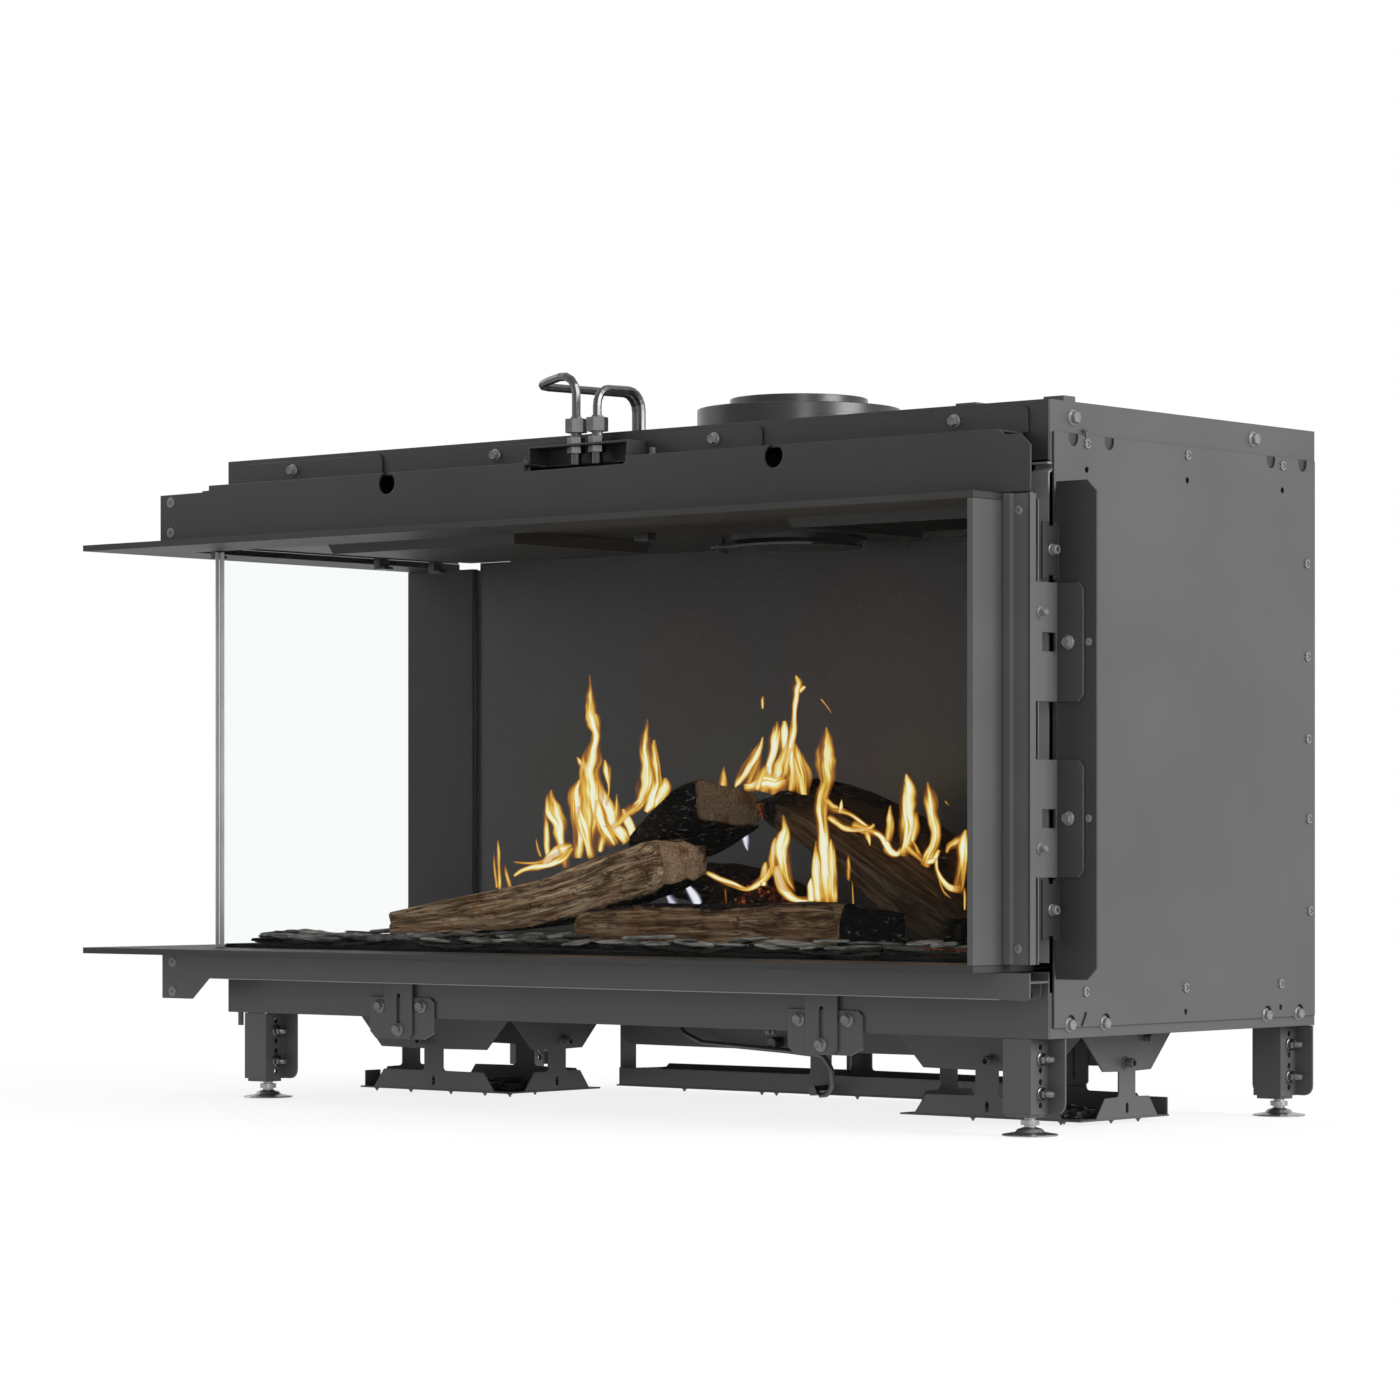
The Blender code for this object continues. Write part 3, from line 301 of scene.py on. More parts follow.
# the stile's faces right of x = 3 mm that don't face right take the darker tab coat: painted shade
stile.data.materials.append(COAT_TAB_PAINTED_SHADE)
for f in stile.data.polygons:
    if (stile.matrix_world @ f.center).x > M(3.0, 0, 0).x and f.normal.x < 0.5:
        f.material_index = len(stile.data.materials) - 1
dress(COAT_TRIM_PAINTED_LIGHT, "frame_flange_right", "trim_fascia_front", "trim_fascia_left",
      "bracket_back_left", "bracket_back_right", "slotted_plate_left", "slotted_plate_right",
      "flue_collar_outer", "flue_liner_inner", "tray_left", "tray_right", "tray_centre")
for leg in LEGS:
    dress(COAT_TRIM_PAINTED_LIGHT, "leg_channel_" + leg)
    dress(DARK_ZINC, "leg_slide_" + leg)
    dress(ZINC, "foot_" + leg)
dress(LINING_BACK, "firebox_back")
dress(LINING, "burner_deck")
dress(LINING_TOP, "firebox_ceiling", "ceiling_duct_left", "ceiling_duct_right")
dress(DARK_ZINC, "burner_bar", "flue_restrictor", "tray_tube")
dress(STEEL, "gas_pipe_long", "gas_pipe_short")


def glass_material(name):
    """Clear ceramic glass: light passes, the outer face mirrors a little and carries a faint film."""
    t = Tree(name)
    tr = t.add("ShaderNodeBsdfTransparent")
    tr.inputs[0].default_value = (0.985, 0.992, 0.988, 1)
    gl = t.add("ShaderNodeBsdfGlossy")
    film = t.noise(t.coords(), 9.0, 4.0)
    t.link(t.range(film, 0.4, 0.8, 0.02, 0.07), gl.inputs["Roughness"])
    mx = t.add("ShaderNodeMixShader")
    geo = t.add("ShaderNodeNewGeometry")
    front = t.math("SUBTRACT", 1.0, geo.outputs["Backfacing"])
    t.link(t.math("MULTIPLY", front, t.range(film, 0.3, 0.7, 0.004, 0.008)), mx.inputs[0])
    t.link(tr.outputs[0], mx.inputs[1])
    t.link(gl.outputs[0], mx.inputs[2])
    t.link(mx.outputs[0], t.out.inputs["Surface"])
    return t.mat


def edge_material(name):
    """Ground edge of the glass."""
    t = Tree(name)
    b = t.bsdf((0.45, 0.46, 0.455), 0.35, 0.0, 0.5)
    streak = t.noise(t.coords(scale=(30, 30, 4)), 6.0, 3.0)
    t.link(t.mix(streak, (0.34, 0.35, 0.345), (0.60, 0.61, 0.605)), b.inputs["Base Color"])
    return t.mat


GLASS_EDGE = edge_material("glass_edge")
GLASS_SEAL = powder_coat("glass_seal", (0.008, 0.008, 0.008), 0.6, bevel=None, grain=0.02, spec=0.1)
GLASS = glass_material("clear_glass")
dress(GLASS, "glass_front", "glass_left")


# ------------------------------------------------------------------ small turned and folded pieces
class Kit:
    """Collects shapes given in casing millimetres in one mesh."""

    def __init__(self):
        self.bm = bmesh.new()

    def place(self, pos, axis, spin=0.0, size=1.0):
        rot = Vector((0, 0, 1)).rotation_difference(Vector(axis).normalized()).to_matrix().to_4x4()
        return Matrix.Translation(M(*pos)) @ rot @ Matrix.Rotation(spin, 4, "Z") @ Matrix.Scale(size / 1000.0, 4)

    def lathe(self, m, profile, n=24):
        """Rings of (radius, height[, 'x' for a cross-shaped ring]) from the foot's centre to the head's centre."""
        rings = []
        for row in profile:
            r, h = row[0], row[1]
            if r < 1e-6:
                rings.append([self.bm.verts.new(m @ Vector((0, 0, h)))])
                continue
            ring = []
            for i in range(n):
                k = r
                if len(row) > 2:
                    k = r if i % (n // 4) == 0 else r * (0.62 if (i % (n // 4)) in (1, n // 4 - 1) else 0.36)
                q = 2 * math.pi * i / n
                ring.append(self.bm.verts.new(m @ Vector((k * math.cos(q), k * math.sin(q), h))))
            rings.append(ring)
        for a, b in zip(rings, rings[1:]):
            for i in range(n):
                j = (i + 1) % n
                if len(a) == 1:
                    self.bm.faces.new((a[0], b[j], b[i]))
                elif len(b) == 1:
                    self.bm.faces.new((a[i], a[j], b[0]))
                else:
                    self.bm.faces.new((a[i], a[j], b[j], b[i]))

    def flange_bolt(self, pos, axis, size=1.0, spin=0.3):
        m = self.place(pos, axis, spin, size)
        self.lathe(m, [(0, 0), (6.6, 0), (6.7, 0.5), (6.3, 1.1), (5.0, 1.8), (4.6, 2.0), (0, 2.0)], 28)
        self.lathe(m, [(0, 1.2), (5.1, 1.2), (5.15, 4.6), (4.5, 5.4), (3.3, 5.5), (2.9, 5.1), (0, 5.0)], 6)

    def nut(self, pos, axis, size=1.0, spin=0.3):
        m = self.place(pos, axis, spin, size)
        self.lathe(m, [(0, 0), (6.2, 0), (6.3, 0.5), (5.9, 1.3), (4.6, 1.9), (0, 1.9)], 28)
        self.lathe(m, [(0, 1.0), (4.9, 1.0), (5.35, 1.8), (5.4, 6.0), (4.6, 7.0), (0, 7.0)], 6)
        thread = [(0, 6.0)]
        for i in range(9):
            thread += [(2.5, 6.2 + i * 0.75), (2.9, 6.55 + i * 0.75)]
        self.lathe(m, thread + [(2.5, 13.2), (2.2, 13.6), (0, 13.6)], 16)

    def pan_screw(self, pos, axis, size=1.0, spin=0.2):
        m = self.place(pos, axis, spin, size)
        self.lathe(m, [(0, 0), (3.7, 0), (3.8, 0.5), (3.5, 1.4), (2.7, 2.1), (2.3, 2.3), (1.9, 2.35, "x"), (1.5, 1.0, "x"), (0, 0.9)], 16)

    def slot_screw(self, pos, axis, size=1.0):
        """Raised ring with an upright slit in its middle."""
        m = self.place(pos, axis, 0.0, size)
        for side in (1, -1):
            outer = [(4.4 * math.cos(q), 4.4 * math.sin(q) * side) for q in [math.radians(a) for a in range(18, 163, 16)]]
            inner = [(2.5 * math.cos(q), 2.5 * math.sin(q) * side) for q in [math.radians(a) for a in range(162, 17, -16)]]
            ring = outer + inner
            lo = [self.bm.verts.new(m @ Vector((b, a, -0.2))) for a, b in ring]
            hi = [self.bm.verts.new(m @ Vector((b * 0.98, a * 0.98, 1.5))) for a, b in ring]
            n = len(ring)
            for i in range(n):
                self.bm.faces.new((lo[i], lo[(i + 1) % n], hi[(i + 1) % n], hi[i]))
            h = len(outer)
            for i in range(h - 1):
                self.bm.faces.new((hi[i], hi[i + 1], hi[n - 2 - i], hi[n - 1 - i]))
                self.bm.faces.new((lo[i], lo[n - 1 - i], lo[n - 2 - i], lo[i + 1]))
        self.lathe(m, [(0, -0.2), (2.3, -0.2), (2.3, 0.35), (1.9, 0.7), (0, 0.7)], 16)

    def half_disc(self, yc, zc, r, up):
        """Thin half disc lying on the casing's right face."""
        pts = [(yc + r * math.cos(math.pi * i / 12), zc + up * r * math.sin(math.pi * i / 12)) for i in range(13)]
        pts += [(yc - r, zc - up * 4.5), (yc + r, zc - up * 4.5)]
        lo = [self.bm.verts.new(M(0.02, a, b)) for a, b in pts]
        hi = [self.bm.verts.new(M(0.25, a, b)) for a, b in pts]
        self.bm.faces.new(lo)
        self.bm.faces.new(hi)
        for i in range(len(pts)):
            j = (i + 1) % len(pts)
            self.bm.faces.new((lo[i], lo[j], hi[j], hi[i]))

    def flat_screw(self, pos, axis, size=1.0, spin=0.4):
        m = self.place(pos, axis, spin, size)
        self.lathe(m, [(0, 0), (5.4, 0), (5.5, 0.25), (5.1, 0.7), (3.4, 0.95), (2.9, 0.95, "x"), (2.3, 0.15, "x"), (0, 0.1)], 24)

    def rivet(self, pos, axis, size=1.0):
        m = self.place(pos, axis, 0, size)
        self.lathe(m, [(0, 0), (4.5, 0), (4.5, 0.4), (4.0, 1.1), (2.8, 1.6), (1.9, 1.7), (1.6, 1.5), (1.5, 0.6), (0, 0.5)], 24)

    def stud(self, pos, axis, r=2.4, h=7.0, collar=3.6):
        m = self.place(pos, axis)
        prof = [(0, 0), (collar, 0), (collar, 1.0), (r, 1.4)]
        z = 1.6
        while z < h - 0.9:
            prof += [(r, z), (r * 0.84, z + 0.3)]
            z += 0.6
        self.lathe(m, prof + [(r * 0.8, h), (0, h)], 16)

    def rod(self, a, b, r, n=12, ends=0.25):
        a, b = Vector(a), Vector(b)
        m = self.place(a, b - a)
        h = (b - a).length
        self.lathe(m, [(0, 0), (r * (1 - ends), 0), (r, r * ends), (r, h - r * ends), (r * (1 - ends), h), (0, h)], n)

    def block(self, x0, y0, z0, x1, y1, z1, bevel=0.4):
        res = bmesh.ops.create_cube(self.bm, size=1.0)
        for v in res["verts"]:
            v.co = M(x0 if v.co.x < 0 else x1, y0 if v.co.y < 0 else y1, z0 if v.co.z < 0 else z1)
        if bevel:
            edges = list({e for v in res["verts"] for e in v.link_edges})
            bmesh.ops.bevel(self.bm, geom=edges, offset=bevel / 1000.0, segments=2, profile=0.6, affect="EDGES")

    def done(self, name, mat, body="fireplace", sharp=38, smooth=True):
        bmesh.ops.recalc_face_normals(self.bm, faces=self.bm.faces)
        me = bpy.data.meshes.new(name)
        self.bm.to_mesh(me)
        self.bm.free()
        if smooth:
            me.shade_smooth()
            me.set_sharp_from_angle(angle=math.radians(sharp))
        return piece(name, me, mat, body)


def piece(name, me, mat, body="fireplace"):
    ob = bpy.data.objects.new(name, me)
    bpy.context.scene.collection.objects.link(ob)
    me.materials.append(mat)
    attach(ob, body)
    return ob


PX, NXA, NYA, PZ, NZ = (1, 0, 0), (-1, 0, 0), (0, -1, 0), (0, 0, 1), (0, 0, -1)

# casing bolts and screws
k = Kit()
for y in (35.6, 316.6):
    k.flange_bolt((0.0, y, 540.0), PX, 1.08)
for y in (30.0, 82.3, 337.8, 391.3):
    k.flange_bolt((0.0, y, 11.6), PX, 0.98, 0.1 + y)
k.done("casing_bolts", BOLT_COAT_PAINTED_LIGHT)

k = Kit()
for y, z in ((53.6, 518.3), (208.1, 518.3), (362.4, 518.3), (51.7, 40.0), (205.1, 40.0), (359.4, 40.0),
             (403.0, 429.7), (404.0, 343.3), (405.0, 266.8), (406.5, 192.3), (408.5, 106.7)):
    k.slot_screw((2.3, y, z), PX, 1.0)
k.done("side_panel_screws", BOLT_COAT_PAINTED_LIGHT)

# dark half discs on the casing's right face: painted shade in the half-moon notches
k = Kit()
for y in (33.8, 87.5, 343.5, 396.3):
    k.half_disc(y, 522.0, 7.0, -1)
for y in (30.0, 82.3, 337.8, 391.3):
    k.half_disc(y, 13.4, 7.0, 1)
k.done("notch_painted_shade", COAT_DARK)

k = Kit()
for x in (-925.6, -650.2, -376.6, -100.1):
    k.flange_bolt((x, -2.3, 540.0), NYA, 0.98, x)
k.done("header_bolts", BOLT_COAT_PAINTED_LIGHT)

k = Kit()
for x, z in ((-1060.5, 512.5), (-1060.5, 482.0), (-1058.0, 50.8), (-1058.0, 21.1)):
    k.flat_screw((x, -41.0, z), NYA, 1.0, x + z)
k.done("trim_screws", BOLT_COAT_PAINTED_LIGHT)

k = Kit()
for x, z in ((-3.0, 455.4), (-3.7, 79.0)):
    k.rivet((x, -38.6, z), NYA)
for z in (342.6, 191.0):
    k.flange_bolt((23.1, -2.3, z), NYA, 0.95, z)
    k.flat_screw((42.8, 0.0, z), NYA, 0.62, z)
for z in (368.0, 165.0):
    k.stud((10.8, -27.0, z), PX, 3.0, 7.5, 5.2)
for z in (422.4, 112.0):
    k.lathe(k.place((10.8, -10.0, z), PX), [(0, 0), (5.2, 0), (5.2, 0.8), (4.2, 1.2), (4.2, 6.0), (3.6, 6.8), (2.5, 6.8), (2.4, 3.5), (0, 3.4)], 24)
k.done("stile_fasteners", BOLT_COAT_PAINTED_LIGHT)

# bolts of the slotted brackets
k = Kit()
for cx in (-777.2, -248.8):
    k.flange_bolt((cx - 27.3, -2.3, 10.9), NYA, 0.98, cx)
    k.flange_bolt((cx + 28.6, -2.3, 11.6), NYA, 0.98, cx + 1)
    k.flange_bolt((cx - 0.4, -4.6, -11.3), NYA, 0.98, cx + 2)
k.done("bracket_bolts", BOLT_COAT_PAINTED_LIGHT)

# leg bolts through the perforated webs
for name, (dx, dy) in LEGS.items():
    k = Kit()
    for i in (1, 4):
        k.nut((-33.9 + 15.1 + dx, 14.6 + dy, -8.0 - 10.1 * i), PX, 1.0, 0.2 + i)
    k.done("leg_nuts_" + name, BOLT)
    # thin dark sheet inside the channel behind the perforated web: painted shade seen through its holes
    k = Kit()
    k.block(-23.9 + dx, 4.9 + dy, -56.0, -23.3 + dx, 22.4 + dy, -7.0, 0.1)
    k.done("leg_painted_shade_sheet_" + name, COAT_DARK, body="leg_" + name)

# rolled flue collar and liner
def collar_material():
    """Satin coated spigot, a little glossier than the casing."""
    t = Tree("collar_coat")
    b = t.bsdf((0.046, 0.046, 0.047), 0.30, 0.6, 0.5)
    turned = t.noise(t.coords(scale=(6, 6, 500)), 1.0, 3.0)
    t.link(t.range(turned, 0.3, 0.7, 0.26, 0.34), b.inputs["Roughness"])
    t.link(t.bump(turned, 0.05, 0.0003, t.bevel(0.0008)), b.inputs["Normal"])
    return t.mat


COLLAR = collar_material()
for name, node, r, z0, z1 in (("rolled_collar", "flue_collar_outer", 100.0, 554.3, 595.0), ("rolled_liner", "flue_liner_inner", 67.8, 466.5, 605.5)):
    k = Kit()
    h = z1 - z0
    k.lathe(k.place((-510.0, 284.0, z0), PZ), [(r, 0), (r, h - 0.5), (r - 0.4, h), (r - 1.2, h), (r - 1.6, h - 0.5), (r - 1.6, 0), (r, 0)], 128)
    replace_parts(k.done(name, COLLAR), node)

# clips on the casing's top edge, screw beside the first notch, blocks at the pipes
k = Kit()
k.block(2.3, 50.4, 524.0, 3.8, 53.4, 530.5, 0.4)
k.block(2.3, 48.4, 529.0, 3.8, 55.4, 531.0, 0.4)
p = at(636.0, 426.5, 118)
k.block(p.x - 5, 112, 554.2, p.x + 5, 126, 566.5, 0.8)
p = at(652.6, 449.5, -18)
k.rod((p.x, -18, 526.6), (p.x, -18, 535.0), 3.0, 16)
k.rod((p.x, -18, 526.6), (p.x, -18, 529.4), 4.6, 6)
k.done("top_clips", COAT_TRIM_PAINTED_LIGHT)

k = Kit()
k.block(-594.0, -24.0, 518.0, -586.5, -22.0, 533.5, 0.5)
k.block(-594.0, -24.0, 531.8, -585.0, -9.0, 533.6, 0.5)
k.rod((-590.0, -20.0, 521.5), (-590.0, -28.0, 521.5), 2.4)
k.done("bracket_foot_clip", COAT_TRIM_PAINTED_LIGHT)

# clips over the left glass panel's top edge
k = Kit()
for y0, y1 in ((14.0, 24.0), (250.0, 265.0), (333.0, 348.0)):
    k.block(-1061.0, y0, 461.5, -1052.5, y1, 470.4, 0.5)
    k.block(-1061.0, y0 + 1, 458.4, -1046.0, y1 - 1, 461.4, 0.4)
k.done("glass_clips", COAT_TRIM_PAINTED_LIGHT)

# studs below the trays, threaded sleeves on their hangers
k = Kit()
for px, py, y, base in ((377, 1088, 153, -80.3), (411, 1092, 153, -80.3), (451, 1091, 153, -80.3), (485, 1096, 153, -80.3), (526, 1095, 153, -80.3),
                        (535, 1092, 200, -80.3), (973, 1119, 150, -81.5), (978, 1117, 190, -81.5), (1061, 1122, 150, -81.5),
                        (1064, 1124, 160, -81.5), (1111, 1120, 200, -81.5), (1152, 1117, 240, -81.5),
                        (684.5, 1092, 326, -79.1), (762, 1093, 326, -79.1), (776.5, 1098, 326, -79.1), (857.5, 1102, 326, -79.1)):
    q = at(px, py, y)
    x = min(q.x, -775.5 if px < 600 else -74.0)
    k.lathe(k.place((x, y, base), NZ), [(0, 0), (2.6, 0), (2.5, 0.7), (1.7, 1.2), (1.2, 2.3), (0.6, 3.2), (0, 3.3)], 12)
for px, py, plane, y, x in ((991.5, 1060.5, "y", 145.5, 0), (1125.5, 1062.5, "x", 0, -70.5), (563.5, 1040.5, "x", 0, -772.0), (424, 1040, "y", 146.5, 0)):
    q = at(px, py, y) if plane == "y" else at_x(px, py, x)
    axis = NYA if plane == "y" else PX
    k.lathe(k.place(q, axis), [(0, -0.4), (5.6, -0.4), (5.6, 0.6), (4.3, 0.9), (4.3, 9.6), (3.9, 10.2), (2.9, 10.2), (2.8, 6.0), (0, 6.0)], 24)
q = at_x(1146.0, 1037.5, -70.5)
k.lathe(k.place(q, PX), [(0, -0.4), (3.4, -0.4), (3.4, 7.0), (3.0, 7.4), (0, 7.4)], 16)
k.done("tray_studs", COAT_TRIM_PAINTED_LIGHT)

# tail of the casing's bottom flange beside the left leg
k = Kit()
q = at(241.3, 1013.5, 30)
k.block(q.x - 3.2, 28.6, -14.6, q.x + 3.2, 30.4, 0.0, 0.3)
k.done("left_leg_lug", COAT_TRIM_PAINTED_LIGHT)

# thin pale rod along the fascia's folded lower edge: a painted highlight on the fold
k = Kit()
k.rod((-1005.0, -40.7, 35.3), (-22.4, -40.7, 35.3), 0.75, 8, 0.5)
k.done("fascia_painted_highlight", EDGE_HIGHLIGHT_COAT)

# dark clutter on the side trays: the photo shows some, but not what it is
k = Kit()
rng = random.Random(7)
for x0, x1, y0, y1, zt in ((-970.0, -782.0, 156.0, 276.0, -77.9), (-268.0, -82.0, 156.0, 270.0, -79.2)):
    for _ in range(170):
        x, y = rng.uniform(x0 + 6, x1 - 6), rng.uniform(y0 + 6, y1 - 6)
        a, b, c = rng.uniform(2, 6), rng.uniform(2, 6), rng.uniform(1.5, 7)
        k.block(x - a, y - b, zt, x + a, y + b, zt + c, 0.4)
    for _ in range(16):
        x, y = rng.uniform(x0 + 25, x1 - 25), rng.uniform(y0 + 25, y1 - 25)
        q = rng.uniform(0, 3.1)
        k.rod((x - 20 * math.cos(q), y - 20 * math.sin(q), zt + rng.uniform(4, 9)), (x + 20 * math.cos(q), y + 20 * math.sin(q), zt + rng.uniform(4, 9)), 1.3, 10, 0.3)
k.done("tray_contents", COAT_DARK)

# rod hanging in the centre tray, small nuts under the beam
k = Kit()
q = at(848.8, 1060, 372)
k.rod((q.x, 372, -0.5), (q.x, 372, -59.0), 2.3, 12, 0.9)
q = at(779, 1043, 318)
k.rod((q.x, 319.5, -28.5), (q.x, 305.0, -28.5), 5.6, 20, 0.15)
for px in (766.5, 771.5):
    q = at(px, 1032.5, 6)
    k.rod((q.x, 8, -0.3), (q.x, 8, -4.2), 2.6, 6, 0.2)
k.done("underside_fasteners", DARK_ZINC)

# fine mesh in the right ceiling duct
k = Kit()
for i in range(34):
    x = -315.5 + 235.0 * i / 33
    k.rod((x, 48.2, 464.6), (x, 229.8, 464.6), 0.55, 6, 0.5)
for i in range(27):
    y = 49.0 + 180.0 * i / 26
    k.rod((-315.8, y, 465.5), (-80.2, y, 465.5), 0.55, 6, 0.5)
k.done("duct_mesh", LINING)

# spark-probe block and rivets on the ceiling
k = Kit()
q = at(643.5, 529.5, 150)
k.block(q.x - 9, 146, 463.6, q.x + 9, 158, 471.0, 0.5)
for px, py in ((719, 519), (447.5, 534), (254, 546)):
    q = at(px, py, 40)
    k.lathe(k.place((q.x, 40, 471.0), NZ), [(0, 0), (2.6, 0), (2.4, 0.8), (1.2, 1.3), (0, 1.4)], 16)
k.done("ceiling_fittings", LINING)

# edges of the glass panels at their corner
k = Kit()
k.block(-1044.9, 5.7, 65.4, -1044.0, 10.2, 464.2, 0.2)
k.done("glass_seal_front", GLASS_EDGE, body="front_glass_panel")
k = Kit()
k.block(-1043.9, 10.5, 65.4, -1037.6, 11.3, 464.2, 0.2)
k.done("glass_edge_front", GLASS_EDGE, body="front_glass_panel")
k = Kit()
k.block(-1044.7, 10.5, 65.4, -1043.8, 387.0, 66.2, 0.2)
k.block(-1044.9, 387.2, 65.4, -1039.9, 388.1, 464.2, 0.2)
k.done("glass_edge_left", GLASS_SEAL, body="left_glass_panel")


# ------------------------------------------------------------------ logs
def catmull(pts, t):
    n = len(pts) - 1
    f = min(max(t, 0.0), 1.0) * n
    i = min(int(f), n - 1)
    u = f - i
    p0, p1, p2, p3 = pts[max(i - 1, 0)], pts[i], pts[i + 1], pts[min(i + 2, n)]
    return 0.5 * ((2 * p1) + (p2 - p0) * u + (2 * p0 - 5 * p1 + 4 * p2 - p3) * u * u + (3 * p1 - p0 - 3 * p2 + p3) * u ** 3)


def smoothstep(a, b, x):
    t = min(max((x - a) / (b - a), 0.0), 1.0)
    return t * t * (3 - 2 * t)


def wood_material(name, tint=(1.0, 1.0, 1.0)):
    """Moulded ceramic log: streaked split wood with long cracks, reticulated ends, charred and glowing places."""
    t = Tree(name)
    b = t.bsdf((0.2, 0.14, 0.1), 0.92, 0.0, 0.06)
    uv = t.add("ShaderNodeUVMap", uv_map="grain")

    def tinted(r, g, bl):
        return (r * tint[0], g * tint[1], bl * tint[2])

    def stretched(su, sv, detail, dist=0.0, shift=0.0):
        mp = t.add("ShaderNodeMapping")
        mp.inputs["Scale"].default_value = (su, sv, 1)
        mp.inputs["Location"].default_value = (shift, shift * 0.7, 0)
        t.link(uv.outputs[0], mp.inputs["Vector"])
        return t.noise(mp.outputs[0], 1.0, detail, 0.62, dist)

    def line(field, level, width):
        away = t.math("ABSOLUTE", t.math("SUBTRACT", field, level))
        return t.range(away, 0.0, width, 1.0, 0.0)

    streak = stretched(18, 170, 5.0, 0.5)
    broad = stretched(9, 60, 4.0, 0.8, 3.0)
    fibre = stretched(80, 800, 3.0, 0.0, 5.0)
    vein = stretched(9, 85, 4.0, 1.0, 8.0)
    vein_b = stretched(15, 150, 3.0, 0.8, 12.0)
    ov = t.coords()
    stain = t.noise(ov, 46.0, 5.0, 0.65, 0.5)
    pit = t.noise(ov, 260.0, 4.0, 0.6)
    squiggle = t.noise(t.coords(scale=(1, 1, 1.8)), 190.0, 2.0, 0.5, 2.2)
    not_cap = t.math("SUBTRACT", 1.0, t.attr("cap"))
    col = t.ramp(streak, [(0.37, tinted(0.090, 0.056, 0.033)), (0.46, tinted(0.198, 0.146, 0.104)),
                          (0.54, tinted(0.325, 0.260, 0.196)), (0.64, tinted(0.455, 0.385, 0.305))])
    col = t.mix(t.range(broad, 0.40, 0.60, 0.45, 0.0), col, tinted(0.115, 0.070, 0.042))
    ends = t.ramp(squiggle, [(0.42, tinted(0.175, 0.148, 0.125)), (0.5, tinted(0.24, 0.205, 0.172)), (0.58, tinted(0.315, 0.275, 0.235))])
    col = t.mix(t.attr("cap"), col, ends)
    col = t.mix(t.range(fibre, 0.40, 0.66, 0.0, 0.45), col, tinted(0.085, 0.055, 0.034))
    col = t.mix(t.range(stain, 0.55, 0.68, 0.0, 0.55), col, tinted(0.185, 0.085, 0.036))
    cracks = t.math("MAXIMUM", line(vein, 0.5, 0.026), t.math("MULTIPLY", line(vein_b, 0.47, 0.022), 0.8))
    cracks = t.math("MULTIPLY", t.math("MULTIPLY", cracks, not_cap), t.range(stain, 0.36, 0.5, 0.22, 0.85))
    col = t.mix(cracks, col, (0.020, 0.012, 0.008))
    col = t.mix(t.range(pit, 0.60, 0.70, 0.0, 0.55), col, tinted(0.045, 0.028, 0.018))
    # burnt areas, broken up by noise, with dry grey flakes lying across the grain
    flake = t.noise(t.coords(scale=(130, 130, 330), rot=(0.5, 0.35, 0.0)), 1.0, 4.0, 0.6, 0.5)
    burn = t.math("ADD", t.attr("char"), t.range(stain, 0.3, 0.7, -0.30, 0.30))
    rim = t.range(burn, 0.16, 0.42, 0.0, 0.8)
    char = t.range(burn, 0.38, 0.60, 0.0, 1.0)
    burnt = t.ramp(flake, [(0.54, (0.0035, 0.003, 0.0028)), (0.60, (0.012, 0.011, 0.010)), (0.645, (0.070, 0.067, 0.063)), (0.71, (0.19, 0.183, 0.175))])
    col = t.mix(rim, col, (0.040, 0.022, 0.013))
    col = t.mix(char, col, burnt)
    t.link(col, b.inputs["Base Color"])
    t.link(t.range(flake, 0.4, 0.7, 0.96, 0.7), b.inputs["Roughness"])
    # embers
    glow = t.math("MULTIPLY", t.range(t.math("ADD", t.attr("ember"), t.range(stain, 0.35, 0.65, -0.35, 0.35)), 0.5, 0.85, 0.0, 1.0),
                  t.range(t.noise(ov, 330.0, 4.0, 0.7), 0.44, 0.66, 0.05, 1.0))
    t.link(t.ramp(glow, [(0.0, (0, 0, 0)), (0.35, (0.22, 0.035, 0.008)), (0.75, (0.62, 0.17, 0.045)), (1.0, (0.85, 0.45, 0.25))]),
           b.inputs["Emission Color"])
    t.link(t.math("MULTIPLY", glow, 0.7), b.inputs["Emission Strength"])
    h = t.mix(0.4, streak, fibre)
    h = t.mix(t.attr("cap"), h, t.math("MULTIPLY", squiggle, 0.3))
    h = t.math("SUBTRACT", h, t.math("MULTIPLY", cracks, 0.6))
    n = t.bump(h, 0.9, 0.004)
    t.link(t.bump(flake, 0.45, 0.0016, n), b.inputs["Normal"])
    t.mat.cycles.emission_sampling = "NONE"
    return t.mat


WOOD_A = wood_material("log_wood_long", (1.55, 1.36, 1.14))
WOOD_B = wood_material("log_wood_front", (0.98, 0.79, 0.60))
WOOD_C = wood_material("log_wood_top", (0.76, 0.69, 0.60))
WOOD_D = wood_material("log_wood_leaning", (0.29, 0.245, 0.21))
WOOD_DIM = wood_material("log_wood_rear", (0.085, 0.060, 0.044))


